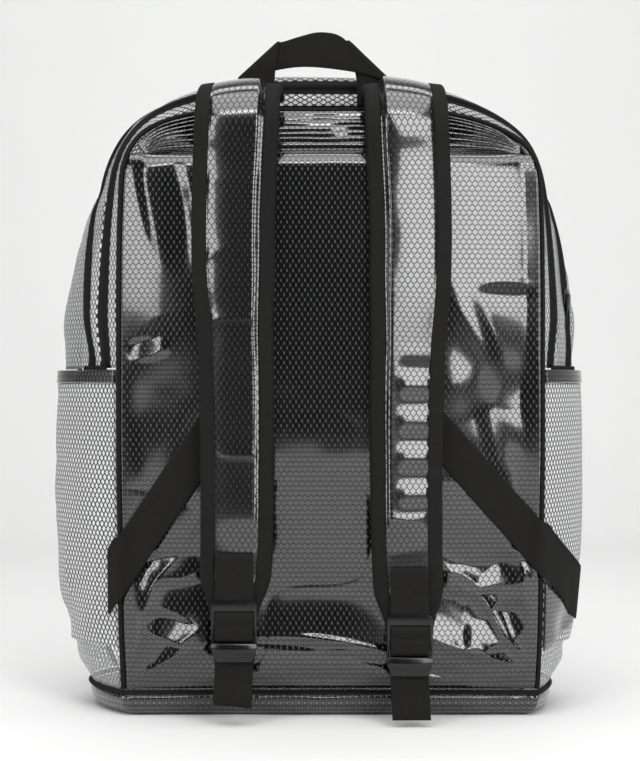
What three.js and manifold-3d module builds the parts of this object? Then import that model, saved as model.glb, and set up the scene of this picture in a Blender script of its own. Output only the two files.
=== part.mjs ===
import * as THREE from 'three';
import { mergeVertices } from 'three/addons/utils/BufferGeometryUtils.js';
import Module from 'manifold-3d';

// A clear backpack with a padded black back, standing upright. Millimetres, +Z up, the back faces -Y.

// body
const bodyWidth = 366;      // across the widest line of the sides
const backWidth = 281;      // back panel, from bound seam to bound seam
const frontWidth = 348;     // front panel, from bound seam to bound seam
const backHeight = 379;     // floor to the fold at the top of the back pad
const yokeRise = 32.7;      // fold to the middle of the arc seam
const yokeLean = 45;        // how far the arc seam leans forward from the fold
const crestRise = 24.3;     // arc seam to the crest of the clear top band
const frontDrop = 19.7;     // arc seam down to the top of the front panel
const sideDepth = 104;      // back seam to front seam
const backShift = 7;        // the back stands this far to the right of the widest line
const backCrown = 13;       // how far the padded back swells out
const frontCrown = 29;      // how far the front panel swells out
const foldRise = 3;         // arch of the fold over the back pad

// base
const baseRim = 14;         // height of the turned-up rim of the base
const baseInset = 13;       // the flat underside lies this far inside the rim
const baseWall = 3;

// film, pads and seams
const filmWall = 1;
const padWall = 5;
const pipingRadius = 1.8;
const seamGap = 0.3;
const sideWall = 1.2;

// yoke
const pleatCount = 7;
const pleatDepth = 1.6;
const yokeWall = 2.4;

// zips, measured round the side from the back seam
const rearStrip = 9;
const zipTape = 12;
const coilHeight = 2.2;
const sliderLength = 12;
const sliderWidth = 9;
const sliderHeight = 3.4;
const pullLength = 19;
const pullWidth = 6;
const pullThickness = 1.6;
const pullAbove = 52;       // the second slider stands this far above the pocket's open edge

// side pockets
const hemHeight = 232;      // floor to the pocket's open edge
const hemWidth = 9;
const hemWall = 2;
const pocketFloor = 46;     // floor to the seam under the pocket
const pocketRoom = 11;      // how far the side lies back behind the pocket
const pocketSill = 16;      // the side goes back over this height under the pocket's seam
const mouthRun = 85;        // above the hem, the side comes out again over this height
const seamTape = 3.4;
const tabWall = 0.8;

// straps
const strapWidth = 56;
const strapSpacing = 108;   // between the centres of the two straps
const strapThickness = 9;
const strapReach = 23;      // back seams out to the middle of the strap
const strapFilm = 0.8;
const bindingLip = 9.5;
const bindingWall = 1;

// webbing and ladder locks
const webWidth = 25;
const webThickness = 1.3;
const webGap = 0.35;
const lockWidth = 29.5;
const lockHeight = 40;
const lockPlate = 3.2;
const lockCorner = 4;
const crossThickness = 1.2;   // crossbar behind the lock's top, which the patch goes round
const crossHeight = 3;
const patchLength = 30;

// haul loop
const haulHeight = 51;      // arc seam to the top of the loop
const haulSpan = 106;       // between the outer edges of its two ends

const arcHeight = backHeight + yokeRise;
const crestHeight = arcHeight + crestRise;
const frontHeight = arcHeight - frontDrop;
const railFoot = baseRim + 2 * pipingRadius + 4 * seamGap;
const skin = filmWall + seamGap;

// Sections of the side and top band, from the floor up one side to the crest. Across and up are shares of
// the half width and of the height of that seam above the base. Deep is a share of how far the arc seam
// leans forward for the back seam, and of the side's depth for the other two.
const railRows = [
  { name: 'floor', back: [0.985, 0, 0.116], widest: [0.874, 0, 0.596], front: [0.845, 0, 1.067] },
  { name: 'low', back: [0.99, 0.045, 0.081], widest: [0.935, 0.043, 0.596], front: [0.89, 0.048, 1.055] },
  { name: 'pocket seam', back: [0.997, 0.12, 0.046], widest: [0.978, 0.112, 0.596], front: [0.94, 0.122, 1.03] },
  { name: 'low pocket', back: [1, 0.24, 0.023], widest: [0.997, 0.226, 0.596], front: [0.968, 0.244, 1.01] },
  { name: 'mid pocket', back: [1.006, 0.39, 0.012], widest: [1, 0.37, 0.596], front: [0.984, 0.407, 1] },
  { name: 'hem', back: [1.006, 0.545, 0], widest: [0.989, 0.513, 0.596], front: [0.994, 0.572, 0.99] },
  { name: 'over pocket', back: [1.006, 0.69, 0], widest: [0.948, 0.65, 0.596], front: [0.972, 0.72, 0.99] },
  { name: 'upper side', back: [1, 0.81, 0.005], widest: [0.886, 0.762, 0.596], front: [0.912, 0.842, 0.981] },
  { name: 'shoulder', back: [0.985, 0.888, 0.023], widest: [0.812, 0.848, 0.596], front: [0.824, 0.932, 0.971] },
  { name: 'corner', back: [0.95, 0.921, 0.139], widest: [0.725, 0.908, 0.596], front: [0.73, 0.966, 0.962] },
  { name: 'arc end', back: [0.85, 0.957, 0.393], widest: [0.598, 0.95, 0.605], front: [0.585, 0.989, 0.957] },
  { name: 'arc side', back: [0.64, 0.987, 0.716], widest: [0.4, 0.985, 0.625], front: [0.39, 0.998, 0.952] },
  { name: 'arc top', back: [0.33, 0.998, 0.936], widest: [0.205, 0.998, 0.645], front: [0.19, 1, 0.952] },
  { name: 'crest', back: [0, 1, 1], widest: [0, 1, 0.654], front: [0, 1, 0.952] },
];
const cornerRow = railRows.findIndex((row) => row.name === 'corner');
const railSteps = 2 * (railRows.length - 1);

// Where the second zip runs, as a share of the way round the side from the back seam to the front seam.
const secondZipRows = [
  { name: 'left floor', share: 0.30 },
  { name: 'left hem', share: 0.30 },
  { name: 'left shoulder', share: 0.50 },
  { name: 'crest', share: 0.66 },
  { name: 'right shoulder', share: 0.60 },
  { name: 'right hem', share: 0.50 },
  { name: 'right floor', share: 0.50 },
];

// Dents of the back, in shares of its half width, its height and its crown: where they start, which way
// they run (degrees from straight across), how long and wide they are and how deep.
const backDents = [
  { name: 'left anchor, up', across: -0.98, up: 0.24, angle: 42, length: 0.62, width: 0.075, depth: 0.42 },
  { name: 'left anchor, across', across: -0.98, up: 0.22, angle: 4, length: 0.55, width: 0.06, depth: 0.34 },
  { name: 'right anchor, up', across: 0.98, up: 0.26, angle: 131, length: 0.6, width: 0.07, depth: 0.42 },
  { name: 'right anchor, across', across: 0.98, up: 0.22, angle: 176, length: 0.6, width: 0.06, depth: 0.34 },
  { name: 'right corner', across: 0.95, up: 0.08, angle: 160, length: 0.75, width: 0.055, depth: 0.38 },
  { name: 'left corner', across: -0.45, up: 0.04, angle: 130, length: 0.5, width: 0.06, depth: 0.36 },
  { name: 'right bend', across: 0.95, up: 0.55, angle: 168, length: 0.55, width: 0.08, depth: 0.4 },
  { name: 'left bend', across: -0.98, up: 0.47, angle: 20, length: 0.5, width: 0.08, depth: 0.36 },
];

// Folds of the clear sides: place as shares of the way up and of the way round, size as shares of the
// side's depth, depth as a share of the room behind the pocket.
const sideFolds = [
  { name: 'left rear', side: -1, up: 0.62, round: 0.55, angle: 75, length: 0.9, width: 0.13, depth: 0.3 },
  { name: 'left shoulder', side: -1, up: 0.84, round: 0.62, angle: 60, length: 0.6, width: 0.12, depth: 0.28 },
  { name: 'right rear', side: 1, up: 0.66, round: 0.5, angle: 100, length: 0.9, width: 0.12, depth: 0.3 },
  { name: 'right shoulder', side: 1, up: 0.86, round: 0.66, angle: 70, length: 0.6, width: 0.12, depth: 0.28 },
  { name: 'left low', side: -1, up: 0.16, round: 0.6, angle: 150, length: 0.9, width: 0.12, depth: 0.3 },
  { name: 'right low', side: 1, up: 0.17, round: 0.52, angle: 35, length: 0.9, width: 0.12, depth: 0.3 },
];

const clamp = THREE.MathUtils.clamp;
const mix = THREE.MathUtils.lerp;
const smooth = THREE.MathUtils.smoothstep;
const point = (x, y, z) => new THREE.Vector3(x, y, z);
const range = (count) => Array.from({ length: count }, (_, i) => i);
const shares = (steps, from = 0, to = 1) => range(steps + 1).map((i) => mix(from, to, i / steps));

// Turns a list of points and triangles into a geometry whose faces point out.
function closedGeometry(points, faces) {
  let volume = 0;
  for (const [a, b, c] of faces) {
    volume += points[a].dot(new THREE.Vector3().crossVectors(points[b], points[c])) / 6;
  }
  const outward = volume < 0 ? faces.map(([a, b, c]) => [a, c, b]) : faces;
  const geometry = new THREE.BufferGeometry().setFromPoints(points);
  geometry.setIndex(outward.flat());
  geometry.computeVertexNormals();
  return geometry;
}

// Joins two sheets with the same rows and columns into one closed solid.
function slab(front, back) {
  const rows = front.length;
  const columns = front[0].length;
  const points = [...front.flat(), ...back.flat()];
  const at = (row, column, sheet) => (sheet * rows + row) * columns + column;
  const faces = [];
  const quad = (a, b, c, d) => faces.push([a, b, c], [a, c, d]);
  for (let r = 0; r < rows - 1; r += 1) {
    for (let c = 0; c < columns - 1; c += 1) {
      quad(at(r, c, 0), at(r, c + 1, 0), at(r + 1, c + 1, 0), at(r + 1, c, 0));
      quad(at(r, c, 1), at(r + 1, c, 1), at(r + 1, c + 1, 1), at(r, c + 1, 1));
    }
  }
  for (let r = 0; r < rows - 1; r += 1) {
    quad(at(r, 0, 0), at(r + 1, 0, 0), at(r + 1, 0, 1), at(r, 0, 1));
    quad(at(r, columns - 1, 0), at(r, columns - 1, 1), at(r + 1, columns - 1, 1), at(r + 1, columns - 1, 0));
  }
  for (let c = 0; c < columns - 1; c += 1) {
    quad(at(0, c, 0), at(0, c, 1), at(0, c + 1, 1), at(0, c + 1, 0));
    quad(at(rows - 1, c, 0), at(rows - 1, c + 1, 0), at(rows - 1, c + 1, 1), at(rows - 1, c, 1));
  }
  return closedGeometry(points, faces);
}

// Joins closed rings with the same number of points, and closes the first and the last with a fan.
function stack(rings) {
  const count = rings[0].length;
  const points = rings.flat();
  const faces = [];
  for (let r = 0; r < rings.length - 1; r += 1) {
    for (let i = 0; i < count; i += 1) {
      const a = r * count + i;
      const b = r * count + ((i + 1) % count);
      faces.push([a, b, b + count], [a, b + count, a + count]);
    }
  }
  const middle = (ring) => ring.reduce((sum, p) => sum.add(p), point(0, 0, 0)).divideScalar(count);
  const last = (rings.length - 1) * count;
  points.push(middle(rings[0]), middle(rings.at(-1)));
  for (let i = 0; i < count; i += 1) {
    const j = (i + 1) % count;
    faces.push([j, i, points.length - 2], [last + i, last + j, points.length - 1]);
  }
  return closedGeometry(points, faces);
}

// A round cord along a curve.
function cordAlong(curve, radius, steps) {
  const section = new THREE.Shape().absarc(0, 0, radius, 0, 2 * Math.PI);
  return new THREE.ExtrudeGeometry(section, { extrudePath: curve, steps, curveSegments: 3 });
}

// How deep a row of dents is at one place, each a furrow that fades out along its length.
function furrows(rows, across, up) {
  let depth = 0;
  for (const row of rows) {
    const turn = THREE.MathUtils.degToRad(row.angle);
    const dx = across - row.across;
    const dy = up - row.up;
    const along = dx * Math.cos(turn) + dy * Math.sin(turn);
    const off = dy * Math.cos(turn) - dx * Math.sin(turn);
    const risen = smooth(along, -0.1 * row.length, 0.15 * row.length);
    const gone = smooth(along, 0.3 * row.length, row.length);
    const fade = risen * (1 - gone);
    depth += row.depth * fade * Math.exp(-((off / row.width) ** 2));
  }
  return depth;
}

// Seams that carry the side and top band, left floor to crest to right floor.
const seamSizes = {
  back: { half: backWidth / 2, height: arcHeight, shift: backShift, depth: yokeLean },
  widest: { half: bodyWidth / 2, height: crestHeight, shift: 0, depth: sideDepth },
  front: { half: frontWidth / 2, height: frontHeight, shift: 0, depth: sideDepth },
};

function railCurve(name) {
  const { half, height, shift, depth } = seamSizes[name];
  const spot = (row, side) => {
    const [across, up, deep] = row[name];
    const z = mix(railFoot, height, up);
    const lean = name === 'back' ? shift * (1 - smooth(up, 0.9, 1)) : 0;
    return point(side * across * half + lean, deep * depth, z);
  };
  const left = railRows.map((row) => spot(row, -1));
  const right = railRows.slice(0, -1).reverse().map((row) => spot(row, 1));
  return new THREE.CatmullRomCurve3([...left, ...right], false, 'centripetal');
}

const rails = { back: railCurve('back'), widest: railCurve('widest'), front: railCurve('front') };
const rowAt = (row, side) => (side < 0 ? row / railSteps : 1 - row / railSteps);

// The place along a seam where it reaches a height, on one side.
function railAtHeight(name, side, height) {
  let low = 0;
  let high = 0.5;
  for (let i = 0; i < 30; i += 1) {
    const middle = (low + high) / 2;
    const at = side < 0 ? middle : 1 - middle;
    if (rails[name].getPoint(at).z < height) {
      low = middle;
    } else {
      high = middle;
    }
  }
  return side < 0 ? low : 1 - low;
}

// The zips end at a seam across the side, just above the pocket's open edge.
const hemAt = {
  left: railAtHeight('widest', -1, hemHeight + 3 * seamGap),
  right: railAtHeight('widest', 1, hemHeight + 3 * seamGap),
};

// The place along the arc seam where it has a given x.
function arcAtX(x) {
  let low = rowAt(cornerRow - 1, -1);
  let high = rowAt(cornerRow - 1, 1);
  for (let i = 0; i < 30; i += 1) {
    const middle = (low + high) / 2;
    if (rails.back.getPoint(middle).x < x) {
      low = middle;
    } else {
      high = middle;
    }
  }
  return (low + high) / 2;
}

// One section of the band: an arc from the back seam over the widest line to the front seam.
const sectionCache = new Map();
function section(t) {
  const at = clamp(t, 0, 1);
  if (!sectionCache.has(at)) {
    const from = rails.back.getPoint(at);
    const over = rails.widest.getPoint(at);
    const to = rails.front.getPoint(at);
    const control = over.clone().multiplyScalar(2).sub(from.clone().add(to).multiplyScalar(0.5));
    const curve = new THREE.QuadraticBezierCurve3(from, control, to);
    sectionCache.set(at, { curve, length: curve.getLength() });
  }
  return sectionCache.get(at);
}

const sectionLength = (t) => section(t).length;
const bandPlain = (t, d) => {
  const { curve, length } = section(t);
  return curve.getPointAt(clamp(d / length, 0, 1));
};

// Outward direction of the band at a place round it.
function bandNormal(t, d) {
  const stepT = 0.004;
  const stepD = 1.5;
  const alongT = bandPlain(t + stepT, d).sub(bandPlain(t - stepT, d));
  const near = clamp(d, stepD, sectionLength(t) - stepD);
  const alongD = bandPlain(t, near + stepD).sub(bandPlain(t, near - stepD));
  return new THREE.Vector3().crossVectors(alongT, alongD).normalize();
}

// How far the clear side folds in at a place round it.
function foldDepth(t, d) {
  const side = t < 0.5 ? -1 : 1;
  const rows = sideFolds.filter((row) => row.side === side);
  const up = bandPlain(t, d).z / sideDepth;
  const round = d / sideDepth;
  const placed = rows.map((row) => ({
    ...row,
    across: row.round - row.length * 0.4 * Math.cos(THREE.MathUtils.degToRad(row.angle)),
    up: row.up * (crestHeight / sideDepth) - row.length * 0.4 * Math.sin(THREE.MathUtils.degToRad(row.angle)),
  }));
  const seamFade = smooth(d, 0, 18) * smooth(sectionLength(t) - d, 0, 18);
  return furrows(placed, round, up) * seamFade;
}

// How far the side lies back behind its pocket; above the hem it comes out again.
function behindPocket(t, d) {
  const { z } = bandPlain(t, d);
  const covered = smooth(z, pocketFloor - pocketSill, pocketFloor - pocketSill / 4)
    * (1 - smooth(z, hemHeight, hemHeight + mouthRun));
  const middle = Math.sin(Math.PI * clamp(d / sectionLength(t), 0, 1)) ** 0.8;
  const fullness = mix(0.45, 1, smooth(z, pocketFloor, pocketFloor + 4 * pocketSill));
  return covered * (filmWall + seamGap + pocketRoom * middle * fullness);
}

// A place on the outside of the side, over the pocket, with its folds.
function outerPoint(t, d, lift) {
  return bandPlain(t, d).addScaledVector(bandNormal(t, d), lift - foldDepth(t, d) * pocketRoom);
}

// A place on the band itself, behind the pocket.
function bandPoint(t, d, lift) {
  return outerPoint(t, d, lift - behindPocket(t, d));
}

// A closed piece of the band between two stations round it, both given as functions of t.
function bandPiece({ t0, t1, steps, from, to, cuts, wall = filmWall, lift = () => 0, spot = bandPoint }) {
  const sheet = (depth) => shares(steps, t0, t1).map((t) => shares(cuts)
    .map((share) => spot(t, mix(from(t), to(t), share), lift(share) - depth)));
  return slab(sheet(0), sheet(wall));
}

// The back panel as a sheet: across -1 to 1, up 0 to 1, and how far it stands out from its seams.
const panelFoot = railFoot + seamGap;
const backHalf = backWidth / 2 - pipingRadius - seamGap;

function crownShape(across, up) {
  const sideways = 1 - Math.abs(across) ** 3;
  const upwards = (1 - Math.abs(2 * up - 1) ** 5) * mix(0.75, 1, smooth(up, 0, 0.35));
  return Math.max(sideways, 0) * Math.max(upwards, 0);
}

function backOut(across, up) {
  const crown = crownShape(across, up);
  const edge = clamp(4 * crown, 0, 1);
  return backCrown * (crown - 0.5 * furrows(backDents, across, up) * edge);
}

function backPoint(across, up, lift) {
  const height = mix(panelFoot, backHeight - foldRise, up);
  const left = rails.back.getPoint(railAtHeight('back', -1, height));
  const right = rails.back.getPoint(railAtHeight('back', 1, height));
  const inset = pipingRadius + 2 * seamGap;
  const x = mix(left.x + inset, right.x - inset, (across + 1) / 2);
  const y = mix(left.y, right.y, (across + 1) / 2) - backOut(across, up) - lift;
  const z = height + foldRise * (1 - across ** 2) * up ** 6;
  return point(x, y, z);
}

// How far out the film over the back reaches at a place, for what lies on it.
function backFace(x, z) {
  const across = clamp((x - backShift) / backHalf, -1, 1);
  const up = clamp((z - panelFoot) / (backHeight - panelFoot), 0, 1);
  return -(backCrown * crownShape(across, up) + skin);
}

function backSheet(lift, columns, rows, top = 1) {
  return shares(rows, 0, top).map((up) => shares(columns, -1, 1)
    .map((across) => backPoint(across, up, lift)));
}

// The yoke between the fold and the arc seam, gathered into pleats that run across.
function yokeSheet(lift, columns, rows) {
  const first = rowAt(cornerRow, -1) + 0.35 / railSteps;
  const last = rowAt(cornerRow, 1) - 0.35 / railSteps;
  return shares(rows).map((w) => shares(columns, first, last).map((t) => {
    const seam = rails.back.getPoint(t);
    const across = clamp((seam.x - backShift * 0.4) / backHalf, -1, 1);
    const fold = backPoint(across, 1, 0);
    const slope = seam.clone().sub(fold);
    const length = slope.length();
    const along = slope.clone().normalize();
    const out = new THREE.Vector3().crossVectors(point(1, 0, 0), along).normalize();
    const start = fold.addScaledVector(along, seamGap + 0.6);
    const slant = new THREE.Vector3().crossVectors(along, rails.back.getTangent(t)).length();
    const reach = length - seamGap - 0.6 - (pipingRadius + 4 * seamGap) / slant;
    const ends = smooth(1 - Math.abs(2 * (t - first) / (last - first) - 1), 0, 0.3);
    const wave = 0.5 - 0.5 * Math.cos(2 * Math.PI * pleatCount * w);
    const swell = 2.2 * Math.sin(Math.PI * w) * ends;
    return start.addScaledVector(along, w * reach).addScaledVector(out, lift + swell + pleatDepth * wave * ends);
  }));
}

// The front panel: straight up from the base, its top following the arch of the front seam.
function frontSheet(lift, columns, rows) {
  const corner = rowAt(cornerRow - 1, -1);
  const inset = pipingRadius + filmWall;
  const side = (v, s) => rails.front.getPoint(s < 0 ? mix(0, corner, v) : 1 - mix(0, corner, v));
  const top = (u) => rails.front.getPoint(mix(corner, 1 - corner, u));
  const foot = (u) => side(0, -1).lerp(side(0, 1), u);
  return shares(rows).map((v) => shares(columns).map((u) => {
    const upAndDown = foot(u).lerp(top(u), v);
    const acrossIt = side(v, -1).lerp(side(v, 1), u);
    const corners = foot(0).lerp(foot(1), u).lerp(top(0).lerp(top(1), u), v);
    const spot = upAndDown.add(acrossIt).sub(corners);
    const middle = point(0, sideDepth, mix(railFoot, frontHeight, 0.5));
    spot.x *= 1 - inset / (frontWidth / 2);
    spot.z = middle.z + (spot.z - middle.z) * (1 - inset / (frontHeight / 2));
    const crown = Math.sin(Math.PI * u) ** 0.6 * Math.sin(Math.PI * v) ** 0.6;
    spot.y += frontCrown * crown + lift;
    return spot;
  }));
}

// The outline of the base, counted round it once: the two sides follow the lowest section of the band.
function baseOutline(height, inset) {
  const left = shares(6).map((share) => bandPlain(0, share * sectionLength(0)));
  const right = shares(6).map((share) => bandPlain(1, share * sectionLength(1))).reverse();
  const between = (a, b, steps) => shares(steps).slice(1, -1).map((share) => a.clone().lerp(b, share));
  const loop = [...left, ...between(left.at(-1), right[0], 6), ...right, ...between(right.at(-1), left[0], 6)];
  const middle = point(backShift / 2, sideDepth * 0.55, 0);
  return loop.map((p) => {
    const x = middle.x + (p.x - middle.x) * (1 - inset / (bodyWidth / 2));
    const y = middle.y + (p.y - middle.y) * (1 - inset / (sideDepth / 2));
    return point(x, y, height);
  });
}

function basePan() {
  const roundness = [
    { rise: 0, inset: 1 },
    { rise: 0.10, inset: 0.55 },
    { rise: 0.38, inset: 0.15 },
    { rise: 1, inset: 0 },
  ];
  const outside = roundness.map(({ rise, inset }) => baseOutline(rise * baseRim, inset * baseInset));
  const inside = [
    baseOutline(baseRim, baseWall),
    baseOutline(baseWall + (baseRim - baseWall) * 0.3, baseWall + 0.3 * baseInset),
    baseOutline(baseWall, baseWall + baseInset),
  ];
  return stack([...outside, ...inside]);
}

// Straps: the path of the middle of the pad. The arch over the top is measured from the arc seam, in
// shares of how far it reaches back and up; the front leg in shares of the strap's reach and of the
// height of the back.
const archReach = yokeLean + strapReach;
const archRise = 12;
const archLift = pipingRadius + 0.4;
const archRows = [
  { name: 'arc seam', forward: 0.10, rise: 0.36 },
  { name: 'rear shoulder', forward: 0.20, rise: 0.62 },
  { name: 'crown', forward: 0.44, rise: 0.66 },
  { name: 'front shoulder', forward: 0.66, rise: 0.32 },
  { name: 'turn', forward: 0.82, rise: -0.42 },
  { name: 'down', forward: 0.91, rise: -1.50 },
];
const legRows = [
  { name: 'top', out: 0.86, up: 0.972, across: 1.015 },
  { name: 'upper', out: 0.93, up: 0.880, across: 1.035 },
  { name: 'chest', out: 0.98, up: 0.760, across: 1.030 },
  { name: 'middle', out: 1.00, up: 0.600, across: 0.995 },
  { name: 'low', out: 1.04, up: 0.450, across: 0.985 },
  { name: 'lower', out: 1.10, up: 0.320, across: 0.990 },
  { name: 'patch', out: 1.16, up: 0.245, across: 1.010 },
  { name: 'end', out: 1.20, up: 0.180, across: 1.025 },
];
const strapWidths = [
  { name: 'arc seam', along: 0.00, wide: 0.98, thick: 0.55 },
  { name: 'arch', along: 0.08, wide: 0.99, thick: 0.80 },
  { name: 'top', along: 0.16, wide: 1.00, thick: 1.00 },
  { name: 'chest', along: 0.40, wide: 0.98, thick: 1.00 },
  { name: 'middle', along: 0.55, wide: 0.89, thick: 1.00 },
  { name: 'lower', along: 0.80, wide: 0.86, thick: 1.00 },
  { name: 'patch', along: 0.92, wide: 0.84, thick: 0.80 },
  { name: 'end', along: 1.00, wide: 0.55, thick: 0.60 },
];

// The two straps: shift is a share of their spacing, width of the strap's width, and how far the end hangs
// lower, the webbing's place at the side seam and its loose end's height are shares of the back's height.
// Run is how far the webbing goes on round the side, in widths of the webbing.
const strapSides = [
  {
    name: 'left', side: -1, shift: -0.009, width: 1, drop: 0,
    anchor: 0.264, run: 0.36, lean: [0.56, 0.83], tail: 0.037,
  },
  {
    name: 'right', side: 1, shift: 0.032, width: 0.98, drop: 0.024,
    anchor: 0.298, run: 2.32, lean: [0.67, 0.743], tail: 0.013,
  },
];
const sides = Object.fromEntries(strapSides.map((row) => [row.name, {
  ...row,
  shift: row.shift * strapSpacing,
  drop: row.drop * backHeight,
  anchor: row.anchor * backHeight,
  run: row.run * webWidth,
  tail: row.tail * backHeight,
}]));

function tableValue(rows, key, column, at) {
  const next = rows.findIndex((row) => row[key] >= at);
  if (next <= 0) {
    return rows[next === 0 ? 0 : rows.length - 1][column];
  }
  const before = rows[next - 1];
  const after = rows[next];
  return mix(before[column], after[column], smooth(at, before[key], after[key]));
}

function strapPath({ side, shift, drop }) {
  const centre = side * strapSpacing / 2 + shift;
  const seam = rails.back.getPoint(arcAtX(centre * 0.93));
  const arch = archRows.map((row) => point(centre * mix(0.93, 1.0, row.forward),
    seam.y - row.forward * archReach, seam.z + row.rise * archRise + archLift));
  const leg = legRows.map((row) => point(centre * row.across, -row.out * strapReach,
    row.up * backHeight - drop * smooth(1 - row.up, 0.3, 0.8)));
  return new THREE.CatmullRomCurve3([...arch, ...leg], false, 'centripetal');
}

function strapFrames(which, steps) {
  const curve = strapPath(which);
  return shares(steps).map((along) => {
    const middle = curve.getPointAt(along);
    const tangent = curve.getTangentAt(along);
    const across = point(1, 0, 0).addScaledVector(tangent, -tangent.x).normalize();
    const out = new THREE.Vector3().crossVectors(tangent, across);
    const half = which.width * strapWidth * tableValue(strapWidths, 'along', 'wide', along) / 2;
    const thick = strapThickness * tableValue(strapWidths, 'along', 'thick', along);
    return { middle, across, out, half, thick, along };
  });
}

const padHalf = (frame) => frame.half - bindingWall - seamGap;
const padRise = (frame, a) => frame.thick / 2 * (1 - 0.38 * clamp(Math.abs(a) / padHalf(frame), 0, 1) ** 4);
const place = (frame, a, b) => frame.middle.clone()
  .addScaledVector(frame.across, a)
  .addScaledVector(frame.out, b);

function strapPad(frames) {
  const columns = [-1, -0.62, 0, 0.62, 1];
  const sheet = (sign) => frames.map((frame) => columns.map((u) => {
    const a = u * padHalf(frame);
    return place(frame, a, sign * padRise(frame, a));
  }));
  return slab(sheet(1), sheet(-1));
}

function strapFace(frames) {
  const reach = (frame) => frame.half - bindingLip - seamGap;
  const sheet = (lift) => frames.map((frame) => [-1, 0, 1].map((u) => {
    const a = u * reach(frame);
    return place(frame, a, padRise(frame, a) + lift);
  }));
  return slab(sheet(seamGap + strapFilm), sheet(seamGap));
}

// Binding folded over one edge of a strap, a C in section.
function strapBinding(frames, sign) {
  const outer = frames.map((frame) => {
    const lip = frame.half - bindingLip;
    const rise = padRise(frame, lip) + seamGap + bindingWall;
    const edge = padRise(frame, padHalf(frame)) + seamGap + bindingWall;
    return [[lip, rise], [frame.half, edge], [frame.half, -edge], [lip, -rise]]
      .map(([a, b]) => place(frame, sign * a, b));
  });
  const inner = frames.map((frame) => {
    const lip = frame.half - bindingLip;
    const rise = padRise(frame, lip) + seamGap;
    const edge = padRise(frame, padHalf(frame)) + seamGap;
    return [[lip, rise], [frame.half - bindingWall, edge], [frame.half - bindingWall, -edge], [lip, -rise]]
      .map(([a, b]) => place(frame, sign * a, b));
  });
  return slab(outer, inner);
}

// A flat webbing from a list of rulings, each from one edge to the other with the way its face looks.
function ribbon(rulings, thickness = webThickness) {
  const sheet = (sign) => rulings.map(({ a, b, normal }) => [a, b]
    .map((p) => p.clone().addScaledVector(normal, sign * thickness / 2)));
  return slab(sheet(1), sheet(-1));
}

const level = (x, y, z, half, normal) => ({ a: point(x - half, y, z), b: point(x + half, y, z), normal });
const turned = (degrees) => {
  const turn = THREE.MathUtils.degToRad(degrees);
  return point(0, -Math.cos(turn), Math.sin(turn));
};

// Where a ladder lock hangs: over the end of its strap.
function lockSeat(which) {
  const frames = strapFrames(which, 24);
  const end = frames.at(-1);
  const x = end.middle.x - which.side * 0.6;
  const top = end.middle.z + 0.36 * lockHeight;
  const front = Math.min(...frames.slice(-4).map((f) => f.middle.y - padRise(f, 0) - seamGap - strapFilm));
  const crossY = front - webGap - webThickness - seamGap - crossThickness / 2;
  const back = crossY - crossThickness / 2 - seamGap - webThickness - webGap;
  return { x, top, front, back, crossY };
}

// Stations of the webbing round the bars of the lock: in shares of the lock's height below its top, and
// out from the back of its plate in shares of the plate.
const lockRoute = [
  { name: 'up behind the bars', out: -0.95, down: 0.62, turn: 0 },
  { name: 'behind the upper bar', out: -0.80, down: 0.36, turn: 0 },
  { name: 'into the upper window', out: -0.35, down: 0.225, turn: -50 },
  { name: 'through the upper window', out: 0.55, down: 0.197, turn: -90 },
  { name: 'over the upper bar', out: 1.30, down: 0.235, turn: -140 },
  { name: 'down the upper bar', out: 1.35, down: 0.330, turn: 180 },
  { name: 'between the bars', out: 1.22, down: 0.400, turn: 180 },
  { name: 'over the lower bar', out: 1.35, down: 0.470, turn: 180 },
  { name: 'down the lower bar', out: 1.30, down: 0.600, turn: 165 },
  { name: 'round the lower bar', out: 1.05, down: 0.638, turn: 125 },
  { name: 'through the lower window', out: 0.40, down: 0.655, turn: 105 },
  { name: 'behind the lip', out: -0.34, down: 0.70, turn: 150 },
  { name: 'down the lip', out: -0.36, down: 0.80, turn: 180 },
  { name: 'below the lip', out: -0.30, down: 1.04, turn: 180 },
];
const lockParts = {
  topBar: [0, 0.172],
  upperBar: [0.245, 0.37],
  lowerBar: [0.43, 0.575],
  lip: [0.70, 1],
};

// The webbing runs on round the side in a straight line as seen from behind: its height at a place round
// it, and how tall its slanted width is there.
function webbingHeight({ side, anchor, lean }, d) {
  const seam = rails.back.getPoint(railAtHeight('back', side, anchor));
  const spot = bandPlain(railAtHeight('widest', side, anchor - 0.4 * webWidth), d);
  return anchor - Math.abs(spot.x - seam.x) * lean[1] / lean[0];
}

const webbingTall = ({ lean }) => webWidth * Math.hypot(...lean) / lean[0];

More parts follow.
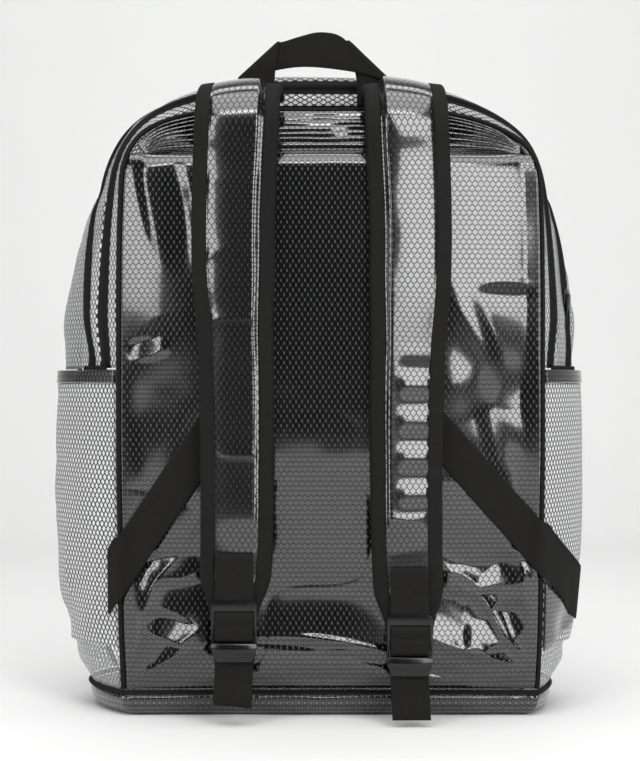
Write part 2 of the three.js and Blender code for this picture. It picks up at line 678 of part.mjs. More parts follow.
function webbingRulings(which) {
  const seat = lockSeat(which);
  const [leanAcross, leanUp] = which.lean;
  const half = webWidth / 2;
  const inward = -which.side;
  const along = point(inward * leanAcross, 0, leanUp).normalize();
  const upper = point(-along.z * inward, 0, along.x * inward).normalize();
  const anchor = rails.back.getPoint(railAtHeight('back', which.side, which.anchor)).setY(0);
  const strapX = which.side * strapSpacing / 2 + which.shift;
  const reach = Math.abs((strapX - anchor.x) / along.x);
  const crease = along.clone().add(point(0, 0, -1)).normalize();
  if (crease.x * inward < 0) {
    crease.negate();
  }
  const fold = anchor.clone().addScaledVector(along, reach);
  const creaseHalf = half / Math.abs(crease.dot(upper));
  const onBack = (p, extra) => {
    const seamLift = pipingRadius + seamGap;
    const y = Math.min(backFace(p.x, p.z), -seamLift) - webGap - webThickness / 2 - extra;
    return point(p.x, y, p.z);
  };
  const facing = point(0, -1, 0);
  const rulings = [];
  // on the side, past the bound seam
  const tall = webbingTall(which) / 2;
  for (const d of shares(which.side < 0 ? 2 : 6, which.run, bandStart())) {
    const t = railAtHeight('widest', which.side, which.anchor - 0.4 * webWidth);
    const z = webbingHeight(which, d);
    const edge = (up) => {
      const at = railAtHeight('widest', which.side, z + up);
      const overSeam = pipingRadius * Math.exp(-d / 6);
      const lifted = outerPoint(at, d, webGap + webThickness / 2 + filmWall * 1.3 + overSeam);
      return point(lifted.x, lifted.y, z + up);
    };
    rulings.push({ a: edge(tall), b: edge(-tall), normal: bandNormal(t, d) });
  }
  // across the back
  for (const share of [0, 0.08, 0.2, 0.4, 0.6, 0.8, 0.92]) {
    const middle = anchor.clone().addScaledVector(along, share * reach);
    const straight = smooth(share, 0, 0.3) * (1 - smooth(share, 0.75, 1));
    const slant = share < 0.5 ? point(0, 0, tall) : crease.clone().multiplyScalar(-creaseHalf);
    const ruling = slant.lerp(upper.clone().multiplyScalar(half), straight);
    const over = share === 0 ? webGap : 0;
    rulings.push({
      a: onBack(middle.clone().add(ruling), over), b: onBack(middle.clone().sub(ruling), over), normal: facing,
    });
  }
  // folded over behind the strap
  const turnOut = point(-crease.z * inward, 0, crease.x * inward).normalize();
  if (turnOut.z < 0) {
    turnOut.negate();
  }
  const creaseA = fold.clone().addScaledVector(crease, -creaseHalf);
  const creaseB = fold.clone().addScaledVector(crease, creaseHalf);
  const layer = webThickness + webGap;
  rulings.push({ a: onBack(creaseA, 0), b: onBack(creaseB, 0), normal: facing });
  const bend = turnOut.clone().multiplyScalar(layer / 2);
  const [bendA, bendB] = [creaseA, creaseB].map((p) => onBack(p, layer / 2).add(bend));
  rulings.push({ a: bendA, b: bendB, normal: turnOut });
  rulings.push({ a: onBack(creaseA, layer), b: onBack(creaseB, layer), normal: facing.clone().negate() });
  // down behind the pad
  const frames = strapFrames(which, 24);
  const backOf = (frame) => frame.middle.y + frame.thick / 2;
  const behind = (z) => {
    const next = frames.findIndex((frame) => frame.along > 0.3 && frame.middle.z <= z);
    const [above, below] = next < 0 ? [frames.at(-1), frames.at(-1)] : [frames[next - 1], frames[next]];
    const share = next < 0 ? 0 : (above.middle.z - z) / (above.middle.z - below.middle.z);
    return Math.max(mix(backOf(above), backOf(below), share), backOf(above) * 0.5 + backOf(below) * 0.5)
      + seamGap + bindingWall + webGap + webThickness / 2;
  };
  const away = facing.clone().negate();
  const flipped = (x, y, z, normal) => (which.side < 0 ? level(x, y, z, half, normal)
    : { a: point(x + half, y, z), b: point(x - half, y, z), normal });
  const endZ = frames.at(-1).middle.z;
  const runs = shares(5, fold.z - webWidth, endZ + 1);
  for (const z of runs) {
    rulings.push(flipped(mix(strapX, seat.x, 1 - (z - endZ) / (fold.z - endZ)), behind(z), z, away));
  }
  // under the end of the strap and up to the lock
  const under = endZ - 5;
  const plateY = (out) => seat.back - out * lockPlate;
  const low = seat.top - lockRoute[0].down * lockHeight;
  const swing = (share) => mix(behind(endZ), plateY(-0.95), share);
  rulings.push(flipped(seat.x, swing(0.2), under, turned(215)));
  rulings.push(flipped(seat.x, swing(0.55), Math.min(under - 2.5, low - 3), turned(265)));
  rulings.push(flipped(seat.x, swing(0.93), low - 1.5, turned(330)));
  // through the lock and out below it
  for (const { out, down, turn } of lockRoute) {
    rulings.push(flipped(seat.x, plateY(out), seat.top - down * lockHeight, turned(turn)));
  }
  const tailTop = seat.top - 1.04 * lockHeight;
  for (const share of [0.35, 0.7, 1]) {
    const z = mix(tailTop, which.tail, share);
    rulings.push(flipped(seat.x - which.side * -1.1 * share, plateY(-0.30) - 2.2 * share, z, away));
  }
  const end = rulings.at(-1);
  end.a.z += which.side < 0 ? 1.4 : 0;
  end.b.z -= which.side < 0 ? 1.4 : 0;
  return rulings;
}

// A rounded flat outline, for plates.
function roundedPlate(width, height, corner, holes = []) {
  const shape = new THREE.Shape();
  const x = width / 2;
  shape.moveTo(-x + corner, 0);
  shape.lineTo(x - corner, 0);
  shape.absarc(x - corner, corner, corner, -Math.PI / 2, 0);
  shape.lineTo(x, height - corner);
  shape.absarc(x - corner, height - corner, corner, 0, Math.PI / 2);
  shape.lineTo(-x + corner, height);
  shape.absarc(-x + corner, height - corner, corner, Math.PI / 2, Math.PI);
  shape.lineTo(-x, corner);
  shape.absarc(-x + corner, corner, corner, Math.PI, 1.5 * Math.PI);
  shape.holes = holes;
  return shape;
}

const flatPlate = (outline, depth) => new THREE.ExtrudeGeometry(outline, {
  depth,
  bevelEnabled: false,
  curveSegments: 3,
});

// Solids joined and cut as one piece.
const wasm = await Module();
wasm.setup();

function toSolid(geometry) {
  const bare = geometry.clone();
  bare.deleteAttribute('normal');
  bare.deleteAttribute('uv');
  const merged = mergeVertices(bare, 1e-4);
  return new wasm.Manifold(new wasm.Mesh({
    numProp: 3,
    vertProperties: new Float32Array(merged.attributes.position.array),
    triVerts: new Uint32Array(merged.index.array),
  }));
}

function fromSolid(solid) {
  const { vertProperties, triVerts } = solid.getMesh();
  const geometry = new THREE.BufferGeometry();
  geometry.setAttribute('position', new THREE.BufferAttribute(new Float32Array(vertProperties), 3));
  geometry.setIndex(new THREE.BufferAttribute(new Uint32Array(triVerts), 1));
  geometry.computeVertexNormals();
  return geometry;
}

const unite = (geometries) => fromSolid(geometries.map(toSolid).reduce((whole, piece) => whole.add(piece)));

function block(width, depth, height, x, y, z) {
  return new THREE.BoxGeometry(width, depth, height).translate(x, y, z);
}

// The ladder lock: a rounded frame with two bars, a crossbar behind its top for the patch, and a curved lip.
function ladderLock({ x, top, back, crossY }) {
  const railWidth = (lockWidth - webWidth) / 2 - 0.5;
  const windowWidth = lockWidth - 2 * railWidth;
  const hole = new THREE.Path();
  const frameHeight = lockParts.lip[0] * lockHeight + 2;
  const sill = frameHeight - lockParts.lip[0] * lockHeight;
  const head = frameHeight - lockParts.topBar[1] * lockHeight;
  hole.moveTo(-windowWidth / 2, sill);
  hole.lineTo(-windowWidth / 2, head);
  hole.lineTo(windowWidth / 2, head);
  hole.lineTo(windowWidth / 2, sill);
  const outline = roundedPlate(lockWidth, frameHeight, lockCorner, [hole]);
  const frame = flatPlate(outline, lockPlate);
  frame.rotateX(Math.PI / 2);
  frame.translate(x, back, top - frameHeight);
  const barDepth = 0.73 * lockPlate;
  const bars = [lockParts.upperBar, lockParts.lowerBar].map(([from, to]) => block(windowWidth + 1, barDepth,
    (to - from) * lockHeight, x, back - 0.25 * lockPlate - barDepth / 2, top - (from + to) / 2 * lockHeight));
  const crossOut = crossY - back;
  const crossZ = top - 0.11 * lockHeight;
  const crossbar = block(lockWidth, crossThickness, crossHeight, x, crossY, crossZ);
  const lugs = [-1, 1].map((side) => block(railWidth, crossOut + 1, crossHeight,
    x + side * (lockWidth - railWidth) / 2, crossY - crossOut / 2 - 0.1, crossZ));
  const lipSpan = (1 - lockParts.lip[0]) * lockHeight;
  const rings = shares(6).map((share) => {
    const half = mix(lockWidth / 2, lockWidth * 0.38, share ** 2.2);
    const z = top - (lockParts.lip[0] + (1 - lockParts.lip[0]) * share) * lockHeight;
    const swell = Math.sin(Math.PI * clamp(share * 0.9 + 0.15, 0, 1));
    const near = back - 0.35 * lockPlate - 0.4 * swell;
    const far = back - lockPlate - 2.2 * swell;
    const thin = mix(1, 0.45, share ** 3);
    const rim = mix(near, far, 0.75 * thin);
    const face = mix(near, far, thin);
    const outline = [[-half, near], [half, near], [half, rim], [half * 0.5, face], [-half * 0.5, face], [-half, rim]];
    return outline.map(([a, y]) => point(x + a, y, z));
  });
  const bridge = block(lockWidth - 0.4, 0.5 * lockPlate, 2.4, x, back - 0.65 * lockPlate,
    top - lockParts.lip[0] * lockHeight - 1.2 + 0.02 * lipSpan);
  return unite([frame, ...bars, crossbar, ...lugs, stack(rings), bridge]);
}

// The patch: webbing sewn to the strap, doubled round the crossbar of the lock.
function patchRulings({ x, top, front, crossY }) {
  const half = webWidth / 2;
  const backLeg = front - webGap - webThickness / 2;
  const frontLeg = crossY - crossThickness / 2 - seamGap - webThickness / 2;
  const frontHigh = backLeg - webThickness - webGap;
  const crossZ = top - 0.11 * lockHeight;
  const low = crossZ - crossHeight / 2 - seamGap - webThickness / 2;
  const stations = [
    { y: backLeg, z: top + patchLength * 0.8, turn: 180 },
    { y: backLeg, z: crossZ, turn: 180 },
    { y: backLeg - 0.35, z: low + 0.55, turn: 225 },
    { y: crossY, z: low, turn: 270 },
    { y: frontLeg + 0.35, z: low + 0.55, turn: 315 },
    { y: frontLeg, z: crossZ, turn: 360 },
    { y: frontLeg, z: top - 0.4, turn: 360 },
    { y: frontHigh, z: top + 5, turn: 360 },
    { y: frontHigh, z: top + patchLength, turn: 360 },
  ];
  return stations.map(({ y, z, turn }) => level(x, y, z, half, turned(turn)));
}

// The haul loop: webbing up from the arc seam, folded over at each corner, and across. Places are shares of
// its span (from the middle) and of its height above the arc seam.
const haulRows = [
  { name: 'left crease', a: [-0.525, 0.385], b: [-0.262, 0.880], layer: 0 },
  { name: 'left crease, behind', a: [-0.515, 0.395], b: [-0.250, 0.893], layer: 1 },
  { name: 'left of the crown', a: [-0.270, 0.520], b: [-0.120, 0.970], layer: 1 },
  { name: 'crown', a: [-0.110, 0.560], b: [-0.010, 1.020], layer: 0.5 },
  { name: 'right of the crown', a: [0.110, 0.525], b: [0.100, 0.998], layer: 0 },
  { name: 'before the right crease', a: [0.330, 0.440], b: [0.150, 0.950], layer: 0 },
  { name: 'right crease, behind', a: [0.470, 0.330], b: [0.178, 0.905], layer: 0 },
  { name: 'right crease', a: [0.480, 0.322], b: [0.190, 0.895], layer: 1 },
];

function haulRulings() {
  const lean = 0.07;
  const stub = { outer: 0.275 * haulHeight, inner: 0.315 * haulHeight };
  const front = rails.back.getPoint(arcAtX(-haulSpan * 0.42)).y - pipingRadius - webThickness;
  const depthAt = (rise, layer) => front - lean * rise + layer * (webThickness + webGap);
  const spot = ([across, up], layer) => {
    const rise = up * haulHeight;
    return point(across * haulSpan - 0.6, depthAt(rise, layer), arcHeight + rise);
  };
  const foot = (x, layer, lift = 0) => {
    const seam = rails.back.getPoint(arcAtX(x));
    const rise = seam.z - arcHeight + pipingRadius + seamGap + lift;
    return point(x, depthAt(rise, layer), arcHeight + rise);
  };
  const rows = haulRows.map(({ a, b, layer }) => ({ a: spot(a, layer), b: spot(b, layer) }));
  const outward = point(0, -1, 0);
  const leftX = rows[0].a.x;
  const rightX = rows.at(-1).a.x;
  const bendLeft = point(-0.67, 0, 0.74);
  const bendRight = point(0.67, 0, 0.74);
  const step = 0.55 * (webThickness + webGap);
  const bend = (from, to, way, normal) => {
    const [a, b] = ['a', 'b'].map((edge) => from[edge].clone().lerp(to[edge], 0.5).addScaledVector(way, step));
    return { a, b, normal };
  };
  const rulings = [
    { a: foot(leftX, 0), b: foot(leftX + webWidth, 0), normal: outward },
    { a: foot(leftX, 0, stub.outer), b: foot(leftX + webWidth, 0, stub.inner), normal: outward },
    { ...rows[0], normal: outward },
    bend(rows[0], rows[1], bendLeft, bendLeft),
    { ...rows[1], normal: outward.clone().negate() },
    ...rows.slice(2, 7).map((row) => ({ ...row, normal: outward.clone().negate() })),
    bend(rows[6], rows[7], bendRight, bendRight.clone().negate()),
    { ...rows[7], normal: outward },
    { a: foot(rightX, 1, stub.outer), b: foot(rightX - webWidth, 1, stub.inner), normal: outward },
    { a: foot(rightX, 1), b: foot(rightX - webWidth, 1), normal: outward },
  ];
  return rulings;
}

// Stations round the band, in millimetres from the back seam.
const bandStart = () => pipingRadius + filmWall + 2 * seamGap;
const bandEnd = (t) => sectionLength(t) - pipingRadius - filmWall;
const mainZipFrom = () => bandStart() + rearStrip + seamGap;
const mainZipTo = () => mainZipFrom() + zipTape;
const secondZipCentre = (t) => {
  const place = clamp(t, 0, 1) * (secondZipRows.length - 1);
  const row = Math.min(Math.floor(place), secondZipRows.length - 2);
  const [low, high] = [secondZipRows[row].share, secondZipRows[row + 1].share];
  return mix(low, high, smooth(place - row, 0, 1)) * sectionLength(t);
};
const secondZipFrom = (t) => secondZipCentre(t) - zipTape / 2;
const secondZipTo = (t) => secondZipCentre(t) + zipTape / 2;
const coilLift = (share) => (share > 0.2 && share < 0.8 ? coilHeight : 0);

// Along the seams one millimetre is about this share of t.
const perMillimetre = 1 / rails.widest.getLength();
const clearance = seamGap * perMillimetre;
const upper = { t0: hemAt.left + clearance, t1: hemAt.right - clearance, steps: 28 };

// The flat face over the coil between two rows of a zip, and a place on it near t.
const coilShares = [1 / 3, 2 / 3];
function coilFace(t, from, to) {
  const step = (upper.t1 - upper.t0) / upper.steps;
  const row = Math.floor((t - upper.t0) / step);
  const edge = (r) => coilShares.map((share) => {
    const at = upper.t0 + r * step;
    return bandPoint(at, mix(from(at), to(at), share), coilHeight);
  });
  const [[a, b], [c, d]] = [edge(row), edge(row + 1)];
  const low = a.clone().lerp(b, 0.5);
  const high = c.clone().lerp(d, 0.5);
  const along = high.clone().sub(low).normalize();
  const across = b.clone().sub(a).add(d).sub(c).normalize();
  const out = new THREE.Vector3().crossVectors(along, across).normalize();
  return { spot: low.lerp(high, clamp((t - upper.t0) / step - row, 0.25, 0.75)), along, out };
}

// A slider on a zip: a rounded shell over the coil.
function sliderAt(t, from, to) {
  const { spot, along, out } = coilFace(t, from, to);
  spot.addScaledVector(out, 2 * seamGap + sliderHeight / 2);
  const across = new THREE.Vector3().crossVectors(along, out);
  const outline = roundedPlate(sliderWidth, sliderLength, sliderWidth * 0.3);
  const shell = flatPlate(outline, sliderHeight);
  shell.translate(0, -sliderLength / 2, -sliderHeight / 2);
  shell.applyMatrix4(new THREE.Matrix4().makeBasis(across, along, out).setPosition(spot));
  return { shell, spot, out };
}

function pullAt({ spot, out }) {
  const outline = roundedPlate(pullWidth, pullLength, pullWidth * 0.45);
  const tab = flatPlate(outline, pullThickness);
  tab.translate(0, -pullLength + 3, 0);
  const up = point(0, 0, 1).addScaledVector(out, -out.z).normalize();
  const across = new THREE.Vector3().crossVectors(up, out);
  const from = spot.clone().addScaledVector(out, sliderHeight / 2 + seamGap);
  tab.applyMatrix4(new THREE.Matrix4().makeBasis(across, up, out).setPosition(from));
  return tab;
}

// The clear side below the zips.
function lowerSide(side) {
  const [t0, t1] = side < 0 ? [0, hemAt.left - clearance] : [hemAt.right + clearance, 1];
  return bandPiece({ t0, t1, steps: 8, from: bandStart, to: bandEnd, cuts: 6 });
}

const pocketFrom = () => bandStart() + 2 * seamGap;
const pocketTo = (t) => bandEnd(t) - 2 * seamGap;

function pocket(side, low, high, wall, steps, lift) {
  return bandPiece({
    t0: railAtHeight('widest', side, low),
    t1: railAtHeight('widest', side, high),
    from: pocketFrom,
    to: pocketTo,
    spot: outerPoint,
    cuts: 6,
    steps,
    wall,
    lift,
  });
}

function sideSeam(side) {
  const centre = side < 0 ? hemAt.left : hemAt.right;
  const reach = (seamTape / 2) * perMillimetre;
  return bandPiece({
    t0: centre - reach, t1: centre + reach, steps: 1, from: mainZipFrom, to: secondZipTo, cuts: 4, wall: tabWall,
    lift: () => 2 * seamGap + tabWall + coilHeight,
  });
}

// The tab under the right webbing: a triangle on the side, from the back seam out to the webbing's end.
function sideTab() {
  const [from, to] = [bandStart(), sides.right.run - seamTape];
  const underWebbing = (d) => webbingHeight(sides.right, d) - webbingTall(sides.right) / 2 - 3 * seamGap;
  const rows = shares(6).map((out) => shares(3).map((down) => {
    const d = mix(from, to, out);
    const z = mix(underWebbing(d), mix(pocketFloor - 2, underWebbing(to) - 2, out), down);
    return { t: railAtHeight('widest', 1, z), d };
  }));
  const sheet = (lift) => rows.map((row) => row.map(({ t, d }) => outerPoint(t, d, lift)));
  return slab(sheet(4 * seamGap + tabWall), sheet(4 * seamGap));
}

function baseSeam() {
  const loop = baseOutline(baseRim + pipingRadius + seamGap, 0);
  const curve = new THREE.CatmullRomCurve3(loop, true, 'centripetal');
  return new THREE.TubeGeometry(curve, 28, pipingRadius, 6, true);
}

const looks = {
  film: { color: 0xd9dcdc, roughness: 0.12, metalness: 0, transparent: true, opacity: 0.45 },
  backedFilm: { color: 0x3c3c3e, roughness: 0.15, metalness: 0 },
  pad: { color: 0x1a1a1b, roughness: 0.6, metalness: 0 },
  webbing: { color: 0x2a2925, roughness: 0.8, metalness: 0 },
  binding: { color: 0x25241f, roughness: 0.75, metalness: 0 },
  plastic: { color: 0x17181a, roughness: 0.3, metalness: 0 },
  zip: { color: 0x161616, roughness: 0.6, metalness: 0 },
};

const pack = new THREE.Group();

function add(name, geometry, look) {
  const mesh = new THREE.Mesh(geometry, new THREE.MeshStandardMaterial(looks[look]));
  mesh.name = name;
  pack.add(mesh);
}

add('bottom_panel', basePan(), 'pad');
add('base_seam', baseSeam(), 'binding');
add('back_pad', slab(backSheet(0, 12, 14), backSheet(-padWall, 12, 14, 1 - 1.3 * padWall / backHeight)), 'pad');
add('back_film', slab(backSheet(skin, 12, 14), backSheet(seamGap, 12, 14)), 'backedFilm');
add('yoke', slab(yokeSheet(0, 10, 2 * pleatCount), yokeSheet(-yokeWall, 10, 2 * pleatCount)), 'backedFilm');
add('back_piping', cordAlong(rails.back, pipingRadius, 40), 'binding');
add('front_piping', cordAlong(rails.front, pipingRadius, 40), 'binding');
add('front_panel', slab(frontSheet(0, 10, 12), frontSheet(-sideWall, 10, 12)), 'film');

const rearTo = () => bandStart() + rearStrip;
add('rear_gusset', bandPiece({ ...upper, from: bandStart, to: rearTo, cuts: 1 }), 'film');
add('main_zip', bandPiece({ ...upper, from: mainZipFrom, to: mainZipTo, cuts: 3, lift: coilLift }), 'zip');
add('middle_gusset', bandPiece({
  ...upper, from: () => mainZipTo() + seamGap, to: (t) => secondZipFrom(t) - seamGap, cuts: 3,
}), 'film');
add('second_zip', bandPiece({ ...upper, from: secondZipFrom, to: secondZipTo, cuts: 3, lift: coilLift }), 'zip');
add('front_gusset', bandPiece({ ...upper, from: (t) => secondZipTo(t) + seamGap, to: bandEnd, cuts: 3 }), 'film');

for (const [label, side] of [['left', -1], ['right', 1]]) {
  add(`lower_side_${label}`, lowerSide(side), 'film');
  add(`side_seam_${label}`, sideSeam(side), 'binding');
  const underHem = hemHeight - hemWidth;
  add(`pocket_${label}`, pocket(side, pocketFloor, underHem - seamGap, filmWall, 6, () => 0), 'film');
  add(`hem_${label}`, pocket(side, underHem, hemHeight, hemWall, 1, () => hemWall / 2), 'backedFilm');
}

const mainSlider = sliderAt(arcAtX(haulSpan / 2 + sliderLength), mainZipFrom, mainZipTo);
add('main_slider', mainSlider.shell, 'plastic');
const secondSlider = sliderAt(railAtHeight('widest', 1, hemHeight + pullAbove), secondZipFrom, secondZipTo);
add('second_slider', secondSlider.shell, 'plastic');
add('zip_pull', pullAt(secondSlider), 'plastic');
add('haul_loop', ribbon(haulRulings()), 'webbing');
add('side_tab_right', sideTab(), 'backedFilm');

for (const [label, which] of Object.entries(sides)) {
  const frames = strapFrames(which, 17);
  const seat = lockSeat(which);
  add(`strap_pad_${label}`, strapPad(frames), 'pad');
  add(`strap_film_${label}`, strapFace(frames), 'backedFilm');
  add(`strap_binding_${label}_inner`, strapBinding(frames, -which.side), 'binding');
  add(`strap_binding_${label}_outer`, strapBinding(frames, which.side), 'binding');
  add(`strap_patch_${label}`, ribbon(patchRulings(seat)), 'webbing');
  add(`ladder_lock_${label}`, ladderLock(seat), 'plastic');
  add(`strap_webbing_${label}`, ribbon(webbingRulings(which)), 'webbing');
}

// The origin is on the floor, in the middle of the whole object.
const bounds = new THREE.Box3().setFromObject(pack);
pack.position.set(-(bounds.min.x + bounds.max.x) / 2, -(bounds.min.y + bounds.max.y) / 2, -bounds.min.z);
pack.updateMatrixWorld(true);

export default pack;
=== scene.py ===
import math
import bpy
import numpy as np
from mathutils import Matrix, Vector


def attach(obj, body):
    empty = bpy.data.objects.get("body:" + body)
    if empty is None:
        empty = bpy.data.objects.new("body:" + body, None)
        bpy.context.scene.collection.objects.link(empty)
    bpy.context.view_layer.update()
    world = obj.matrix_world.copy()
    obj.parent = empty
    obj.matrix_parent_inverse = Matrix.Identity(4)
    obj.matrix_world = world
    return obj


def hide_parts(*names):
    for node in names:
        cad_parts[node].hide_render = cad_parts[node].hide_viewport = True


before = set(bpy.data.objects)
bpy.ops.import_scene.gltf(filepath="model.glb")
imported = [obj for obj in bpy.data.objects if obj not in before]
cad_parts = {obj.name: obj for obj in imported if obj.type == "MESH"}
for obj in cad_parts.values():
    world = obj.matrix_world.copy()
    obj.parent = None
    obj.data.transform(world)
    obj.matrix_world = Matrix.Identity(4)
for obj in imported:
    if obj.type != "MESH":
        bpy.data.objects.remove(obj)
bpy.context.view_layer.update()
print("model loaded:", len(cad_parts), "nodes")

# Points are worked out in the pack's own millimetres: x from its middle, y forward from the back seams,
# z up from the floor. frameShift takes them to the model's frame.
frameShift = (0.694, -45.185, 0.0)

body = {
    "width": 366, "backWidth": 281, "frontWidth": 348, "backHeight": 379, "yokeRise": 32.7, "yokeLean": 45,
    "crestRise": 24.3, "frontDrop": 19.7, "depth": 104, "backShift": 7, "backCrown": 13, "frontCrown": 29,
    "foldRise": 3, "baseRim": 14, "baseInset": 13, "baseWall": 3, "film": 0.5, "piping": 1.8, "gap": 0.3,
    "hemHeight": 232, "hemWidth": 9, "pocketFloor": 46, "pocketRoom": 11, "pocketDip": 4.5,
    "pocketSill": 16, "mouthRun": 40,
}
arcHeight = body["backHeight"] + body["yokeRise"]
crestHeight = arcHeight + body["crestRise"]
frontHeight = arcHeight - body["frontDrop"]
railFoot = body["baseRim"] + 2 * body["piping"] + 4 * body["gap"]

# seams of the side and top band: across, up and deep for the back, the widest and the front line
railRows = [
    ((0.985, 0, 0.116), (0.874, 0, 0.596), (0.845, 0, 1.067)),
    ((0.990, 0.045, 0.081), (0.935, 0.043, 0.596), (0.890, 0.048, 1.055)),
    ((0.997, 0.120, 0.046), (0.978, 0.112, 0.596), (0.940, 0.122, 1.030)),
    ((1.000, 0.240, 0.023), (0.997, 0.226, 0.596), (0.968, 0.244, 1.010)),
    ((1.006, 0.390, 0.012), (1.000, 0.370, 0.596), (0.984, 0.407, 1.000)),
    ((1.006, 0.545, 0.000), (0.989, 0.513, 0.596), (0.994, 0.572, 0.990)),
    ((1.006, 0.690, 0.000), (0.948, 0.650, 0.596), (0.972, 0.720, 0.990)),
    ((1.000, 0.810, 0.005), (0.886, 0.762, 0.596), (0.912, 0.842, 0.981)),
    ((0.985, 0.888, 0.023), (0.812, 0.848, 0.596), (0.824, 0.932, 0.971)),
    ((0.950, 0.921, 0.139), (0.725, 0.908, 0.596), (0.730, 0.966, 0.962)),
    ((0.850, 0.957, 0.393), (0.598, 0.950, 0.605), (0.585, 0.989, 0.957)),
    ((0.640, 0.987, 0.716), (0.400, 0.985, 0.625), (0.390, 0.998, 0.952)),
    ((0.330, 0.998, 0.936), (0.205, 0.998, 0.645), (0.190, 1.000, 0.952)),
    ((0.000, 1.000, 1.000), (0.000, 1.000, 0.654), (0.000, 1.000, 0.952)),
]
cornerRow = 9
railSteps = 2 * (len(railRows) - 1)
# where the second zip lies across the band, from the left foot over the top to the right foot
secondZipShares = [0.30, 0.30, 0.50, 0.66, 0.60, 0.50, 0.50]

# dents of the back: across, up, angle, length, width, depth
backDents = [
    (-0.98, 0.24, 42, 0.62, 0.075, 0.42), (-0.98, 0.22, 4, 0.55, 0.060, 0.34),
    (0.98, 0.26, 131, 0.60, 0.070, 0.42), (0.98, 0.22, 176, 0.60, 0.060, 0.34),
    (0.95, 0.08, 160, 0.75, 0.055, 0.38), (-0.45, 0.04, 130, 0.50, 0.060, 0.36),
    (0.95, 0.55, 168, 0.55, 0.080, 0.40), (-0.98, 0.47, 20, 0.50, 0.080, 0.36),
]
# folds of the sides: side, up, round, angle, length, width, depth
sideFolds = [
    (-1, 0.62, 0.55, 75, 0.9, 0.13, 0.30), (-1, 0.84, 0.62, 60, 0.6, 0.12, 0.28),
    (1, 0.66, 0.50, 100, 0.9, 0.12, 0.30), (1, 0.86, 0.66, 70, 0.6, 0.12, 0.28),
    (-1, 0.16, 0.60, 150, 0.9, 0.12, 0.30), (1, 0.17, 0.52, 35, 0.9, 0.12, 0.30),
]


def mix(a, b, t):
    return a + (b - a) * t


def smooth(x, low, high):
    t = np.clip((np.asarray(x, float) - low) / (high - low), 0, 1)
    return t * t * (3 - 2 * t)


def unit(v):
    return v / np.maximum(np.linalg.norm(v, axis=-1, keepdims=True), 1e-9)


def curvePoints(points, t):
    points = np.asarray(points, float)
    count = len(points)
    padded = np.vstack([2 * points[0] - points[1], points, 2 * points[-1] - points[-2]])
    place = np.clip(np.asarray(t, float), 0, 1) * (count - 1)
    cell = np.minimum(place.astype(int), count - 2)
    w = (place - cell)[..., None]
    p0, p1, p2, p3 = (padded[cell + k] for k in range(4))
    g0, g1, g2 = (np.maximum(np.sum((b - a) ** 2, -1, keepdims=True), 1e-12) ** 0.25
                  for a, b in ((p0, p1), (p1, p2), (p2, p3)))
    m1 = ((p1 - p0) / g0 - (p2 - p0) / (g0 + g1) + (p2 - p1) / g1) * g1
    m2 = ((p2 - p1) / g1 - (p3 - p1) / (g1 + g2) + (p3 - p2) / g2) * g1
    return p1 + m1 * w + (3 * (p2 - p1) - 2 * m1 - m2) * w ** 2 + (2 * (p1 - p2) + m1 + m2) * w ** 3


def runAlong(line):                  # millimetres from the line's start to each of its points
    return np.concatenate([[0], np.cumsum(np.linalg.norm(np.diff(line, axis=0), axis=1))])


def evenPoints(points, shares):
    dense = curvePoints(points, np.linspace(0, 1, 2001))
    run = runAlong(dense)
    at = np.asarray(shares) * run[-1]
    return np.stack([np.interp(at, run, dense[:, k]) for k in range(3)], -1), run[-1]


def seamLine(which):
    half, height, shift, depth = (
        (body["backWidth"] / 2, arcHeight, body["backShift"], body["yokeLean"]),
        (body["width"] / 2, crestHeight, 0, body["depth"]),
        (body["frontWidth"] / 2, frontHeight, 0, body["depth"]))[which]

    def spot(row, side):
        across, up, deep = row[which]
        lean = shift * (1 - smooth(up, 0.9, 1)) if which == 0 else 0
        return (side * across * half + lean, deep * depth, mix(railFoot, height, up))
    left = [spot(row, -1) for row in railRows]
    right = [spot(row, 1) for row in reversed(railRows[:-1])]
    return np.array(left + right)


seams = [seamLine(0), seamLine(1), seamLine(2)]
halfWay = np.linspace(0, 0.5, 3001)
seamHeights = [curvePoints(line, halfWay)[:, 2] for line in seams]


def seamAtHeight(which, side, height):
    at = np.interp(height, seamHeights[which], halfWay)
    return at if side < 0 else 1 - at


hemAt = {side: float(seamAtHeight(1, side, body["hemHeight"] + 3 * body["gap"])) for side in (-1, 1)}


def arcAtX(x):
    t = np.linspace((cornerRow - 1) / railSteps, 1 - (cornerRow - 1) / railSteps, 3001)
    return np.interp(x, curvePoints(seams[0], t)[:, 0], t)


def sections(t):
    a, b, c = (curvePoints(line, t)[:, None] for line in seams)
    control = 2 * b - (a + c) / 2
    s = np.linspace(0, 1, 97)[None, :, None]
    line = (1 - s) ** 2 * a + 2 * s * (1 - s) * control + s * s * c
    run = np.cumsum(np.linalg.norm(np.diff(line, axis=1), axis=2), axis=1)
    return line, np.concatenate([np.zeros((len(t), 1)), run], axis=1)


def bandPlain(t, d):
    line, run = sections(t)
    return np.stack([np.stack([np.interp(d[i], run[i], line[i, :, k]) for k in range(3)], -1)
                     for i in range(len(t))])


def sectionLength(t):
    return sections(np.atleast_1d(np.asarray(t, float)))[1][:, -1]


def bandNormals(t, d):
    near = np.clip(d, 1.5, sectionLength(t)[:, None] - 1.5)
    alongT = bandPlain(t + 0.004, d) - bandPlain(t - 0.004, d)
    alongD = bandPlain(t, near + 1.5) - bandPlain(t, near - 1.5)
    return unit(np.cross(alongT, alongD))


